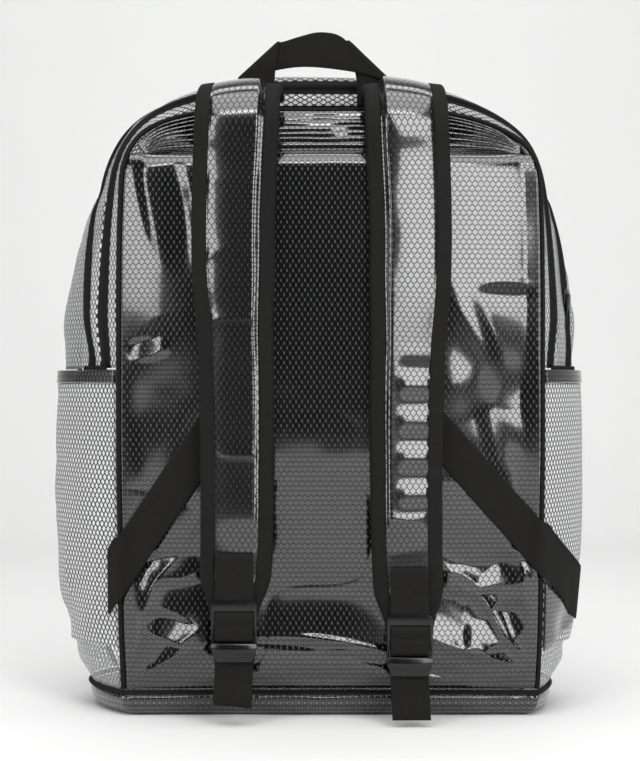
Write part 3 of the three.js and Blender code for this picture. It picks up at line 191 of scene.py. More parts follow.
def furrows(rows, across, up):
    depth = 0
    for a, u, angle, length, width, deep in rows:
        turn = math.radians(angle)
        dx, dy = across - a, up - u
        along = dx * math.cos(turn) + dy * math.sin(turn)
        off = dy * math.cos(turn) - dx * math.sin(turn)
        fade = smooth(along, -0.1 * length, 0.15 * length) * (1 - smooth(along, 0.3 * length, length))
        depth = depth + deep * fade * np.exp(-((off / width) ** 2))
    return depth


def softNoise(u, v, size, seed):     # -1 to 1, one swell about each size in millimetres
    lattice = np.random.RandomState(seed).uniform(-1, 1, (97, 97))
    x, y = np.asarray(u, float) / size + 40, np.asarray(v, float) / size + 40
    i, j = np.floor(x).astype(int), np.floor(y).astype(int)
    fx, fy = x - i, y - j
    fx, fy = (f ** 3 * (f * (6 * f - 15) + 10) for f in (fx, fy))
    i, j, i1, j1 = i % 97, j % 97, (i + 1) % 97, (j + 1) % 97
    top = mix(lattice[i, j], lattice[i1, j], fx)
    return mix(top, mix(lattice[i, j1], lattice[i1, j1], fx), fy)


def creases(u, v, size, seed):       # 0 to 1, sharp along winding lines
    return (1 - np.abs(softNoise(u, v, size, seed))) ** 6


def foldDepth(t, d, plain):
    up = plain[..., 2] / body["depth"]
    depth = 0
    for side in (-1, 1):
        rows = [(r - length * 0.4 * math.cos(math.radians(angle)),
                 u * crestHeight / body["depth"] - length * 0.4 * math.sin(math.radians(angle)),
                 angle, length, width, deep)
                for s, u, r, angle, length, width, deep in sideFolds if s == side]
        here = (t < 0.5) if side < 0 else (t >= 0.5)
        depth = depth + furrows(rows, d / body["depth"], up) * here[:, None]
    return depth * smooth(d, 0, 18) * smooth(sectionLength(t)[:, None] - d, 0, 18)


def behindPocket(t, d, plain):
    z = plain[..., 2]
    covered = (smooth(z, body["pocketFloor"] - body["pocketSill"], body["pocketFloor"] - body["pocketSill"] / 4)
               * (1 - smooth(z, body["hemHeight"], body["hemHeight"] + body["mouthRun"])))
    middle = np.sin(np.pi * np.clip(d / sectionLength(t)[:, None], 0, 1)) ** 0.8
    fullness = mix(0.45, 1, smooth(z, body["pocketFloor"], body["pocketFloor"] + 4 * body["pocketSill"]))
    return covered * (1 + body["gap"] + body["pocketDip"] * middle * fullness)


print("shape functions ready")


# Building meshes. A grid of outer points and one of inner points make a closed sheet.
def toFrame(points):
    return (np.asarray(points, float) + frameShift) / 1000


def meshObject(name, verts, faces, smoothFaces, uv=None):
    mesh = bpy.data.meshes.new(name)
    mesh.from_pydata(toFrame(verts).tolist(), [], [list(map(int, f)) for f in faces])
    mesh.polygons.foreach_set("use_smooth", smoothFaces)
    if uv is not None:
        loops = np.zeros(len(mesh.loops), int)
        mesh.loops.foreach_get("vertex_index", loops)
        layer = mesh.uv_layers.new(name="UVMap")
        layer.data.foreach_set("uv", np.asarray(uv, float)[loops].ravel())
    mesh.update()
    piece = bpy.data.objects.new(name, mesh)
    bpy.context.scene.collection.objects.link(piece)
    return piece


def signedVolume(verts, faces):
    v = np.asarray(verts)
    total = 0
    for i in range(1, faces.shape[1] - 1):
        total += np.einsum("ij,ij->i", v[faces[:, 0]], np.cross(v[faces[:, i]], v[faces[:, i + 1]])).sum()
    return total


def closedSheet(name, outer, inner, uv=None):
    rows, columns = outer.shape[:2]
    count = rows * columns
    verts = np.concatenate([outer.reshape(-1, 3), inner.reshape(-1, 3)])
    index = np.arange(count).reshape(rows, columns)
    front = np.stack([index[:-1, :-1], index[:-1, 1:], index[1:, 1:], index[1:, :-1]], -1).reshape(-1, 4)
    border = np.concatenate([index[0, :-1], index[:-1, -1], index[-1, :0:-1], index[:0:-1, 0]])
    after = np.roll(border, -1)
    rim = np.stack([after, border, border + count, after + count], -1)
    faces = np.concatenate([front, front[:, ::-1] + count, rim])
    if signedVolume(verts, faces) < 0:
        faces = faces[:, ::-1]
    flags = [True] * (2 * len(front)) + [False] * len(rim)
    both = None if uv is None else np.concatenate([uv.reshape(-1, 2)] * 2)
    return meshObject(name, verts, faces, flags, both)


def closedRings(name, rings, uv=None, joined=False):
    rings = np.asarray(rings)
    rows, count = rings.shape[:2]
    verts = rings.reshape(-1, 3)
    index = np.arange(rows * count).reshape(rows, count)
    nxt = np.roll(index, -1, axis=1)
    above = np.roll(index, -1, axis=0)
    aboveNext = np.roll(above, -1, axis=1)
    keep = slice(None) if joined else slice(0, rows - 1)
    side = np.stack([index[keep], nxt[keep], aboveNext[keep], above[keep]], -1).reshape(-1, 4)
    if signedVolume(verts, side) < 0:
        side = side[:, ::-1]
        caps = [index[0].tolist(), index[-1][::-1].tolist()]
    else:
        caps = [index[0][::-1].tolist(), index[-1].tolist()]
    faces = side.tolist() + ([] if joined else caps)
    flags = [True] * len(side) + ([] if joined else [False, False])
    return meshObject(name, verts, faces, flags, None if uv is None else uv.reshape(-1, 2))


def finishPiece(piece, material, slot, *nodes):
    piece.data.materials.append(material)
    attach(piece, "root")
    if nodes:
        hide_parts(*nodes)
    return piece


def lineFrames(line, reference):
    tangent = unit(np.gradient(line, axis=0))
    side = unit(np.cross(tangent, reference))
    return tangent, side, np.cross(side, tangent)


def cordMesh(name, line, reference, width, height, sides=10, joined=False):
    if joined:
        tangent = unit(np.roll(line, -1, axis=0) - np.roll(line, 1, axis=0))
        side = unit(np.cross(tangent, reference))
        up = np.cross(side, tangent)
    else:
        tangent, side, up = lineFrames(line, reference)
    turn = np.linspace(0, 2 * np.pi, sides, endpoint=False)
    rings = (line[:, None] + side[:, None] * (np.cos(turn) * width / 2)[None, :, None]
             + up[:, None] * (np.sin(turn) * height / 2)[None, :, None])
    run = runAlong(line)
    uv = np.stack(np.broadcast_arrays((turn * width / 2)[None, :], run[:, None]), -1)
    return closedRings(name, rings, uv, joined)


# Materials. Sizes are millimetres in the UV map, colours are sRGB hex values.
def srgb(code):
    channels = [int(code[i:i + 2], 16) / 255 for i in (0, 2, 4)]
    return tuple(c / 12.92 if c <= 0.04045 else ((c + 0.055) / 1.055) ** 2.4 for c in channels) + (1.0,)


def addNode(tree, kind, settings=None, links=None):
    node = tree.nodes.new(kind)
    for key, value in (settings or {}).items():
        if isinstance(key, int) or key in node.inputs:
            node.inputs[key].default_value = value
        else:
            setattr(node, key, value)
    for key, source in (links or {}).items():
        tree.links.new(source, node.inputs[key])
    return node


def newMaterial(name):
    material = bpy.data.materials.new(name)
    material.use_nodes = True
    tree = material.node_tree
    tree.nodes.clear()
    return material, tree


def mathNode(tree, operation, a, b=None, c=None):
    settings, links = {"operation": operation}, {}
    for slot, value in enumerate((a, b, c)):
        if isinstance(value, (int, float)):
            settings[slot] = value
        elif value is not None:
            links[slot] = value
    return addNode(tree, "ShaderNodeMath", settings, links).outputs[0]


def blend(tree, share, first, second):
    node = addNode(tree, "ShaderNodeMix", {"data_type": "RGBA"}, {0: share})
    for slot, value in ((6, first), (7, second)):
        if isinstance(value, str):
            node.inputs[slot].default_value = srgb(value)
        else:
            tree.links.new(value, node.inputs[slot])
    return node.outputs[2]


net = {"across": 3.95, "tall": 6.4, "thread": 0.62, "edge": 0.16}


def netMask(tree, thread=None):
    uv = addNode(tree, "ShaderNodeUVMap", {"uv_map": "UVMap"}).outputs[0]
    split = addNode(tree, "ShaderNodeSeparateXYZ", links={0: uv}).outputs
    u = mathNode(tree, "DIVIDE", split[0], net["across"])
    v = mathNode(tree, "DIVIDE", split[1], net["tall"])
    wave = mathNode(tree, "PINGPONG", v, 0.5)                      # 0 to 0.5 and back each row pair
    wide = mathNode(tree, "MULTIPLY_ADD", wave, 2.9, -0.225)
    shift = mathNode(tree, "MULTIPLY", addNode(tree, "ShaderNodeClamp", links={0: wide}).outputs[0], 0.5)
    lines = [mathNode(tree, "PINGPONG", mathNode(tree, way, u, shift), 0.5) for way in ("ADD", "SUBTRACT")]
    half = (thread or net["thread"]) / 2 / net["across"]
    soft = net["edge"] / net["across"]
    mask = addNode(tree, "ShaderNodeMapRange", {1: half + soft, 2: half - soft, 3: 0.0, 4: 1.0},
                   {0: mathNode(tree, "MINIMUM", *lines)}).outputs[0]
    knot = addNode(tree, "ShaderNodeMapRange", {1: half * 1.9, 2: half * 0.7, 3: 0.0, 4: 1.0},
                   {0: mathNode(tree, "MAXIMUM", *lines)}).outputs[0]
    return mask, knot


def clearFilm(name, threadColour, thread, haze, cover=1.0):
    # soft PVC, calendered clear, with a black net laminated in it: see-through, milky where light falls on it
    material, tree = newMaterial(name)
    mask, knot = netMask(tree, thread)
    bump = addNode(tree, "ShaderNodeBump", {"Strength": 0.3, "Distance": 0.0002}, {"Height": mask}).outputs[0]
    see = addNode(tree, "ShaderNodeBsdfTransparent", {"Color": srgb("fafbfb")}).outputs[0]
    gloss = addNode(tree, "ShaderNodeBsdfPrincipled",
                    {"Base Color": srgb("f4f5f5"), "Roughness": 0.16, "IOR": 1.53, "Metallic": 0.0},
                    {"Normal": bump}).outputs[0]
    facing = addNode(tree, "ShaderNodeLayerWeight", {"Blend": 0.28}).outputs[1]
    veil = mathNode(tree, "MULTIPLY_ADD", facing, 0.35, haze)
    film = addNode(tree, "ShaderNodeMixShader", links={0: veil, 1: see, 2: gloss}).outputs[0]
    strand = addNode(tree, "ShaderNodeBsdfPrincipled",
                     {"Base Color": srgb(threadColour), "Roughness": 0.5, "IOR": 1.45, "Specular IOR Level": 0.15},
                     {"Normal": bump}).outputs[0]
    covered = mathNode(tree, "MULTIPLY", mask, cover)
    whole = addNode(tree, "ShaderNodeMixShader", links={0: covered, 1: film, 2: strand}).outputs[0]
    addNode(tree, "ShaderNodeOutputMaterial", links={"Surface": whole})
    return material


def backedFilm(name, cell, strand, rough, glintPaint=0.5, relief=0.25):
    # the same film over black cloth: dark and mirror-like, the net shows as matt lines, and small glints of the
    # lights are painted into the base colour at its knots
    material, tree = newMaterial(name)
    mask, knot = netMask(tree)
    lined = blend(tree, mask, cell, strand)
    # painted highlight: the base colour at the knots is lightened towards pale grey, standing in for glints of the
    # lights
    glint = blend(tree, mathNode(tree, "MULTIPLY", knot, glintPaint), lined, "8c8e8e")
    bump = addNode(tree, "ShaderNodeBump", {"Strength": relief, "Distance": 0.0002}, {"Height": mask}).outputs[0]
    roughness = addNode(tree, "ShaderNodeMapRange", {1: 0.0, 2: 1.0, 3: rough, 4: 0.4}, {0: mask}).outputs[0]
    coat = addNode(tree, "ShaderNodeMapRange", {1: 0.0, 2: 1.0, 3: 1.0, 4: 0.15}, {0: mask}).outputs[0]
    shine = addNode(tree, "ShaderNodeMapRange", {1: 0.0, 2: 1.0, 3: 0.7, 4: 0.1}, {0: mask}).outputs[0]
    surface = addNode(tree, "ShaderNodeBsdfPrincipled",
                      {"IOR": 1.53, "Metallic": 0.0, "Coat Roughness": 0.06},
                      {"Base Color": glint, "Coat Weight": coat, "Roughness": roughness,
                       "Specular IOR Level": shine,
                       "Normal": bump}).outputs[0]
    addNode(tree, "ShaderNodeOutputMaterial", links={"Surface": surface})
    return material


def wovenCloth(name, dark, light, pitchU, pitchV, rough, relief):
    # spun or filament nylon woven in narrow tapes: matt, ribbed across, with painted shade in the weave's hollows
    # and painted highlight on its ridges
    material, tree = newMaterial(name)
    uv = addNode(tree, "ShaderNodeUVMap", {"uv_map": "UVMap"}).outputs[0]
    split = addNode(tree, "ShaderNodeSeparateXYZ", links={0: uv}).outputs
    u = mathNode(tree, "MULTIPLY", split[0], 2 * math.pi / pitchU)
    v = mathNode(tree, "MULTIPLY", split[1], 2 * math.pi / pitchV)
    weave = mathNode(tree, "MULTIPLY", mathNode(tree, "SINE", u), mathNode(tree, "SINE", v))
    ribs = mathNode(tree, "MULTIPLY_ADD", mathNode(tree, "SINE", v), 0.5, weave)
    height = mathNode(tree, "MULTIPLY_ADD", ribs, 0.33, 0.5)
    wear = addNode(tree, "ShaderNodeTexNoise", {"Scale": 0.22, "Detail": 3.0}, {"Vector": uv}).outputs[0]
    # painted shade: the colour follows the weave's bump height, darker in its hollows and lighter on its ridges,
    # with a random tone from the noise on top
    share = mathNode(tree, "MULTIPLY", mathNode(tree, "ADD", height, wear), 0.5)
    colour = blend(tree, share, dark, light)
    bump = addNode(tree, "ShaderNodeBump", {"Strength": relief, "Distance": 0.0003}, {"Height": height}).outputs[0]
    surface = addNode(tree, "ShaderNodeBsdfPrincipled",
                      {"Roughness": rough, "IOR": 1.45, "Specular IOR Level": 0.2},
                      {"Base Color": colour, "Normal": bump}).outputs[0]
    addNode(tree, "ShaderNodeOutputMaterial", links={"Surface": surface})
    return material


def mouldedPlastic(name, colour, rough):
    # acetal, injection moulded: near black, satin gloss with a faint grain
    material, tree = newMaterial(name)
    place = addNode(tree, "ShaderNodeTexCoord").outputs["Object"]
    grain = addNode(tree, "ShaderNodeTexNoise", {"Scale": 1800.0, "Detail": 2.0}, {"Vector": place}).outputs[0]
    bump = addNode(tree, "ShaderNodeBump", {"Strength": 0.08, "Distance": 0.0001}, {"Height": grain}).outputs[0]
    roughness = addNode(tree, "ShaderNodeMapRange", {1: 0.3, 2: 0.7, 3: rough - 0.04, 4: rough + 0.06},
                        {0: grain}).outputs[0]
    surface = addNode(tree, "ShaderNodeBsdfPrincipled", {"Base Color": srgb(colour), "IOR": 1.48},
                      {"Roughness": roughness, "Normal": bump}).outputs[0]
    addNode(tree, "ShaderNodeOutputMaterial", links={"Surface": surface})
    return material


sideFilm = clearFilm("clear PVC film with laminated black net", "040404", 0.9, 0.22)
lowerFilm = clearFilm("clear PVC film behind the pocket", "0a0a0b", 0.7, 0.1, 0.7)
pocketFilm = clearFilm("clear PVC pocket film with laminated black net", "040404", 1.2, 0.5)
frontFilm = clearFilm("clear PVC front film", "b4b6b6", 0.3, 0.04, 0.1)
backFilm = backedFilm("glossy PVC film over black cloth", "070707", "020202", 0.14, 0.3, 0.1)
yokeFilm = backedFilm("glossy PVC film gathered in pleats", "060606", "030303", 0.13, 0.1, 0.08)
strapFilm = backedFilm("glossy PVC film on the padded strap", "101011", "030303", 0.16, 0.12, 0.1)
hemFilm = backedFilm("folded PVC film hem", "2a2b2a", "060606", 0.2, 0.4)
webbing = wovenCloth("black woven nylon webbing", "060605", "1d1c19", 1.3, 1.1, 0.85, 0.6)
grosgrain = wovenCloth("black grosgrain binding", "050505", "1a1917", 6.0, 1.0, 0.8, 0.5)
padCloth = wovenCloth("black padded cloth", "0c0c0d", "1e1e20", 1.0, 1.0, 0.75, 0.3)
zipTape = wovenCloth("black zip tape", "050505", "121212", 0.9, 0.9, 0.7, 0.4)
acetal = mouldedPlastic("black moulded acetal", "09090a", 0.2)
print("materials ready")


# The back: padded, under glossy film that dents and creases.
panelFoot = railFoot + body["gap"]


def crownShape(across, up):
    sideways = np.maximum(1 - np.abs(np.minimum(across, 0.93)) ** 3, 0)    # flat along the right seam
    steep = np.where(np.asarray(up) > 0.5, 60, 26)
    upwards = np.maximum((1 - np.abs(2 * up - 1) ** steep) 
                          * (mix(0.5, 1, smooth(up, 0.16, 0.48)) + 0.45 * (1 - smooth(up, 0.0, 0.19))), 0)
    return sideways * upwards


def backGrid(across, up, lift):
    height = mix(panelFoot, body["backHeight"] - body["foldRise"], up)
    left = curvePoints(seams[0], seamAtHeight(0, -1, height))
    right = curvePoints(seams[0], seamAtHeight(0, 1, height))
    inset = body["piping"] + 0.1
    crown = crownShape(across, up)
    out = body["backCrown"] * (crown - 0.5 * furrows(backDents, across, up) * np.clip(4 * crown, 0, 1))
    x = mix(left[..., 0] + inset, right[..., 0] - inset, (across + 1) / 2)
    y = mix(left[..., 1], right[..., 1], (across + 1) / 2) - out - lift
    z = height + body["foldRise"] * (1 - across ** 2) * np.clip(up, 0, 1) ** 6
    return np.stack([x, y, z], -1)


# flats of the back film that catch light, in millimetres:
# x, z, half width, half height, turn in degrees, tilt right, tilt up
backFlats = [
    (-116, 246, 16, 8, 8, -0.2, 0.2),
    (-95, 140, 20, 30, -30, -0.16, 0.10), (-100, 100, 26, 12, 6, -0.14, 0.22), (-95, 58, 26, 10, -22, -0.05, 0.25),
    (126, 286, 24, 8, -3, 0.02, -0.15), (80, 256, 32, 56, 26, -0.19, 0.0),
    (-103, 345, 17, 52, 12, 0.17, 0.0),
    (112, 96, 34, 12, 12, 0.12, 0.26), (118, 60, 26, 14, 30, 0.10, 0.24),
    (0, 130, 30, 34, 0, 0.02, 0.06), (-10, 52, 44, 5, -3, 0.0, -0.3), (40, 42, 60, 7, -13, 0.0, -0.3),
]


def starFolds(x, z):                 # creases that fan out of the two lower corners
    lift = 0
    for cx, cz, first, count, reach in ((-134, 20, 0.2, 5, 125), (143, 30, 0.5, 6, 140)):
        dx, dz = np.abs(x - cx), z - cz
        r, turn = np.hypot(dx, dz), np.arctan2(dz, dx) + 0.14 * softNoise(x, z, 40, 8)
        ridge = (1 - np.abs(np.sin(turn * count + first))) ** 1.5
        lift = lift + 3.4 * ridge * smooth(r, 4, 50) * (1 - smooth(r, 0.45 * reach, reach))
    return lift


def backRelief(x, z):
    lift = 0
    for cx, cz, rx, rz, turn, tiltX, tiltZ in backFlats:
        a = math.radians(turn)
        dx, dz = x - cx, z - cz
        r = np.abs((dx * math.cos(a) + dz * math.sin(a)) / rx) ** 2.6
        r = (r + np.abs((dz * math.cos(a) - dx * math.sin(a)) / rz) ** 2.6) ** (1 / 2.6)
        lift = lift - (tiltX * dx + tiltZ * dz) * (1 - smooth(r, 0.55, 1.1)) * 0.6
    low = 1 - smooth(z, 90, 260)
    lift = lift + mix(0.25, 0.7, low) * softNoise(x, z, 46, 3) + 0.12 * softNoise(x + 9, z, 19, 4)
    lift = lift + mix(0.1, 0.8, low) * creases(x, z * 0.8, 85, 7) - 0.5 * low * creases(x * 0.9, z, 60, 11)
    return lift + starFolds(x, z)


def makeBack():
    across, up = np.meshgrid(np.linspace(-1, 1, 241), np.linspace(0, 1, 321))
    plain = backGrid(across, up, 0)
    edge = smooth(1 - np.abs(across), 0, 0.1) * smooth(up, 0, 0.03) * smooth(1 - up, 0, 0.03)
    relief = np.clip(backRelief(plain[..., 0], plain[..., 2]), -4.5, 3.0) * edge
    away = np.array([0, -1, 0])
    outer = plain + away * (1.3 + relief)[..., None]
    inner = outer - away * 0.7
    uv = plain[..., [0, 2]]
    finishPiece(closedSheet("backFilm", outer, inner, uv), backFilm, "backed_film", "back_film")
    # the pad behind it
    across, up = np.meshgrid(np.linspace(-1, 1, 81), np.linspace(0, 1, 101))
    plain = backGrid(across, up, 0)
    relief = np.clip(backRelief(plain[..., 0], plain[..., 2]), -4.5, 0) * smooth(1 - np.abs(across), 0, 0.1)
    front = plain + away * (relief - 0.6)[..., None]
    behind = backGrid(across, up * (1 - 6.5 / body["backHeight"]), -5)
    pad = closedSheet("backPad", front, behind, plain[..., [0, 2]])
    finishPiece(pad, padCloth, "black_pad", "back_pad")


def makeYoke():
    rows, columns = 113, 161
    first = cornerRow / railSteps + 0.35 / railSteps
    t = np.linspace(first, 1 - first, columns)
    seam = curvePoints(seams[0], t)
    tangent = unit(curvePoints(seams[0], t + 0.001) - curvePoints(seams[0], t - 0.001))
    backHalf = body["backWidth"] / 2 - body["piping"] - body["gap"]
    across = np.clip((seam[:, 0] - body["backShift"] * 0.4) / backHalf, -1, 1)
    fold = backGrid(across, np.ones_like(across), 0)
    slope = seam - fold
    length = np.linalg.norm(slope, axis=1)
    along = slope / length[:, None]
    out = unit(np.cross((1, 0, 0), along))
    start = fold + along * 0.9
    slant = np.linalg.norm(np.cross(along, tangent), axis=1)
    reach = length - 0.9 - (body["piping"] + 1.2) / slant
    ends = smooth(1 - np.abs(2 * (t - first) / (1 - 2 * first) - 1), 0, 0.3)
    w = np.linspace(0, 1, rows)[:, None]
    ripple = 0.06 * softNoise(seam[None, :, 0], w * 60, 22, 21)
    phase = 7 * (w + ripple * np.sin(np.pi * w))
    wave = (0.5 - 0.5 * np.cos(2 * np.pi * phase)) ** 0.6
    rise = 2.2 * np.sin(np.pi * w) * ends + 2.3 * wave * ends + 0.12 * softNoise(seam[None, :, 0], w * 60, 12, 22)
    base = start[None] + along[None] * (w * reach)[..., None]
    outer = base + out[None] * (rise * smooth(w, 0, 0.04) * smooth(1 - w, 0, 0.04))[..., None]
    inner = base - out[None] * 1.8
    uv = np.stack(np.broadcast_arrays(seam[None, :, 0], w * length * 1.4), -1)
    finishPiece(closedSheet("yokePleats", outer, inner, uv), yokeFilm, "backed_film", "yoke")


makeBack()
makeYoke()
print("back and yoke made")


# The band round the sides and the top, its zips and the pockets.
def bandSheet(name, t0, t1, steps, startAt, endAt, cuts, material, slot, node, wall=0.5, lift=None,
              outside=False, crumple=1.0):
    t = np.linspace(t0, t1, steps + 1)
    length = sectionLength(t)
    low = startAt(t, length)[:, None]
    high = endAt(t, length)[:, None]
    share = np.linspace(0, 1, cuts + 1)[None]
    d = mix(low, high, share)
    plain = bandPlain(t, d)
    normal = bandNormals(t, d)
    run = runAlong(plain[:, cuts // 2])[:, None]
    edge = smooth(share, 0, 0.12) * smooth(1 - share, 0, 0.12)
    ends = smooth(t - t0, 0, 0.006)[:, None] * smooth(t1 - t, 0, 0.006)[:, None]
    out = -foldDepth(t, d, plain) * body["pocketRoom"]
    if not outside:
        out = out - behindPocket(t, d, plain)
    rumple = (0.8 * softNoise(run, d, 34, 31) + 0.9 * creases(run, d * 1.2, 48, 33)
              - 0.7 * creases(run * 1.1, d, 40, 36))
    out = out + crumple * rumple * edge * ends + (0 if lift is None else lift(share))
    outer = plain + normal * out[..., None]
    inner = outer - normal * wall
    uv = np.stack(np.broadcast_arrays(d, run), -1)
    return finishPiece(closedSheet(name, outer, inner, uv), material, slot, node)


zips = {"start": 1.8 + 1 + 0.6, "rear": 9, "tape": 12, "coilWide": 4.6, "coilHigh": 2.2}
seamClear = 0.0003                   # share of the seam line left free at each side seam
upperFrom = hemAt[-1] + seamClear
upperTo = hemAt[1] - seamClear


def zipCentre(t, length):
    place = np.clip(t, 0, 1) * (len(secondZipShares) - 1)
    row = np.minimum(place.astype(int), len(secondZipShares) - 2)
    table = np.array(secondZipShares)
    return mix(table[row], table[row + 1], smooth(place - row, 0, 1)) * length


def fixed(value):
    return lambda t, length: np.full(len(t), float(value))


def bandEnd(t, length):
    return length - body["piping"] - 1


mainFrom = zips["start"] + zips["rear"] + body["gap"]
mainTo = mainFrom + zips["tape"]
halfTape = zips["tape"] / 2


def coilLift(share):
    return zips["coilHigh"] * np.exp(-(np.abs(share - 0.5) * zips["tape"] / (zips["coilWide"] / 2)) ** 6)


def beforeZip(gap=0.0):
    return lambda t, length: zipCentre(t, length) - (halfTape + gap)


def afterZip(gap=0.0):
    return lambda t, length: zipCentre(t, length) + (halfTape + gap)


upperBand = [
    ("rearGusset", fixed(zips["start"]), fixed(mainFrom - 0.3), 8, "rear_gusset", {"crumple": 0.35}),
    ("mainZip", fixed(mainFrom), fixed(mainTo), 20, "main_zip", None),
    ("middleGusset", fixed(mainTo + 0.3), beforeZip(0.3), 30, "middle_gusset", {}),
    ("secondZip", beforeZip(), afterZip(), 20, "second_zip", None),
    ("frontGusset", afterZip(0.3), bandEnd, 40, "front_gusset", {}),
]
for name, startAt, endAt, cuts, node, options in upperBand:
    if options is None:
        bandSheet(name, upperFrom, upperTo, 320, startAt, endAt, cuts, zipTape, "zip_black", node,
                  wall=0.8, lift=coilLift, crumple=0.0)
    else:
        bandSheet(name, upperFrom, upperTo, 320, startAt, endAt, cuts, sideFilm, "clear_film", node, **options)
for label, side in (("left", -1), ("right", 1)):
    low, high = (0, hemAt[-1] - seamClear) if side < 0 else (hemAt[1] + seamClear, 1)
    bandSheet(f"lowerSide_{label}", low, high, 110, fixed(zips["start"]), bandEnd, 50, lowerFilm,
              "clear_film", f"lower_side_{label}", crumple=0.8)
    foot, lip, hemFrom, hemTo = (float(seamAtHeight(1, side, height)) for height in (
        body["pocketFloor"], body["hemHeight"] - body["hemWidth"] - 0.3, body["hemHeight"] - body["hemWidth"],
        body["hemHeight"]))
    pocketFrom, pocketTo = fixed(zips["start"] + 0.6), lambda t, length: bandEnd(t, length) - 0.6
    bandSheet(f"pocketPanel_{label}", foot, lip, 90, pocketFrom, pocketTo, 60, pocketFilm, "clear_film",
              f"pocket_{label}", outside=True, crumple=1.0)
    bandSheet(f"pocketHem_{label}", hemFrom, hemTo, 6, pocketFrom, pocketTo, 60, hemFilm, "backed_film",
              f"hem_{label}", wall=1.8, outside=True, crumple=0.0, lift=lambda share: 0.9)
    centre, reach = hemAt[side], 1.7 / 1245              # half its width as a share of the seam line
    bandSheet(f"sideSeam_{label}", centre - reach, centre + reach, 4, fixed(mainFrom), afterZip(), 30, grosgrain,
              "black_binding", f"side_seam_{label}", wall=0.8, crumple=0.0, lift=lambda share: 3.6)
print("band, zips and pockets made")


# The front panel, the base and the bound seams.
def makeFront():
    rows, columns = 121, 121
    corner = (cornerRow - 1) / railSteps
    v = np.linspace(0, 1, rows)
    u = np.linspace(0, 1, columns)
    left = curvePoints(seams[2], v * corner)[:, None]
    right = curvePoints(seams[2], 1 - v * corner)[:, None]
    top = curvePoints(seams[2], mix(corner, 1 - corner, u))[None]
    footLine = mix(left[:1], right[:1], u[None, :, None])
    vv, uu = v[:, None, None], u[None, :, None]
    grid = (mix(footLine, top, vv) + mix(left, right, uu)
            - mix(mix(left[:1], right[:1], uu), mix(left[-1:], right[-1:], uu), vv))
    inset = body["piping"] + 1
    middle = mix(railFoot, frontHeight, 0.5)
    grid[..., 0] *= 1 - inset / (body["frontWidth"] / 2)
    grid[..., 2] = middle + (grid[..., 2] - middle) * (1 - inset / (frontHeight / 2))
    crown = np.sin(np.pi * uu[..., 0]).clip(0) ** 0.6 * np.sin(np.pi * vv[..., 0]).clip(0) ** 0.6
    x, z = grid[..., 0], grid[..., 2]
    rumple = softNoise(x, z, 55, 41) * 1.6 + 1.2 * creases(x, z, 90, 43)
    grid[..., 1] += body["frontCrown"] * crown + rumple * crown - 0.8
    away = np.array([0, 1, 0])
    finishPiece(closedSheet("frontPanel", grid, grid - away * 0.6, grid[..., [0, 2]]), frontFilm, "clear_film",
                "front_panel")


def baseOutline(height, inset, steps=28):
    ends = [bandPlain(np.array([t]), np.linspace(0, sectionLength(t)[0], steps + 1)[None])[0] for t in (0.0, 1.0)]
    left, right = ends[0], ends[1][::-1]
    between = [mix(a, b, np.linspace(0, 1, 61)[1:-1, None])
               for a, b in ((left[-1], right[0]), (right[-1], left[0]))]
    loop = np.concatenate([left, between[0], right, between[1]])
    middle = np.array([body["backShift"] / 2, body["depth"] * 0.55])
    x = middle[0] + (loop[:, 0] - middle[0]) * (1 - inset / (body["width"] / 2))
    y = middle[1] + (loop[:, 1] - middle[1]) * (1 - inset / (body["depth"] / 2))
    return np.stack([x, y, np.full(len(x), float(height))], -1)


def makeBase():
    rim, inset, wall = body["baseRim"], body["baseInset"], body["baseWall"]
    rings = [baseOutline(0, inset + 20), baseOutline(0, inset)]
    for angle in np.linspace(0, 1, 9)[1:]:
        turn = angle * math.pi / 2
        rings.append(baseOutline(rim * (1 - math.cos(turn)) ** 1.1, inset * (1 - math.sin(turn)) ** 1.25))
    rings += [baseOutline(rim, wall), baseOutline(wall + (rim - wall) * 0.3, wall + 0.3 * inset),
              baseOutline(wall, wall + inset)]
    rings = np.array(rings)
    rumple = 0.7 * softNoise(rings[..., 0], rings[..., 2] * 4 + rings[..., 1], 24, 51)
    rumple = rumple + 0.8 * creases(rings[..., 0], rings[..., 2] * 3, 30, 53)
    strength = np.zeros(len(rings))
    strength[3:9] = 1
    rings[..., 1] += rumple * strength[:, None] * np.where(rings[..., 1] < 50, 1, -1) * 0.8
    run = runAlong(rings[4])
    uv = np.stack(np.broadcast_arrays(run[None, :], (np.arange(len(rings)) * 2.2)[:, None]), -1)
    pan = closedRings("basePad", rings, uv)
    finishPiece(pan, baseFilm, "black_pad", "bottom_panel")
    loop = baseOutline(rim + body["piping"] + body["gap"], 0)
    seam = cordMesh("baseSeam", loop, (0, 0, 1), 3.4, 3.4, 10, joined=True)
    finishPiece(seam, grosgrain, "black_binding", "base_seam")


baseFilm = backedFilm("PVC film over the black base", "141415", "050505", 0.2, 0.6)
makeFront()
makeBase()
for name, which, node in (("backPiping", 0, "back_piping"), ("frontPiping", 2, "front_piping")):
    line, _ = evenPoints(seams[which], np.linspace(0, 1, 401))
    finishPiece(cordMesh(name, line, (0, 1, 0), 3.6, 3.6), grosgrain, "black_binding", node)
print("front, base and seams made")


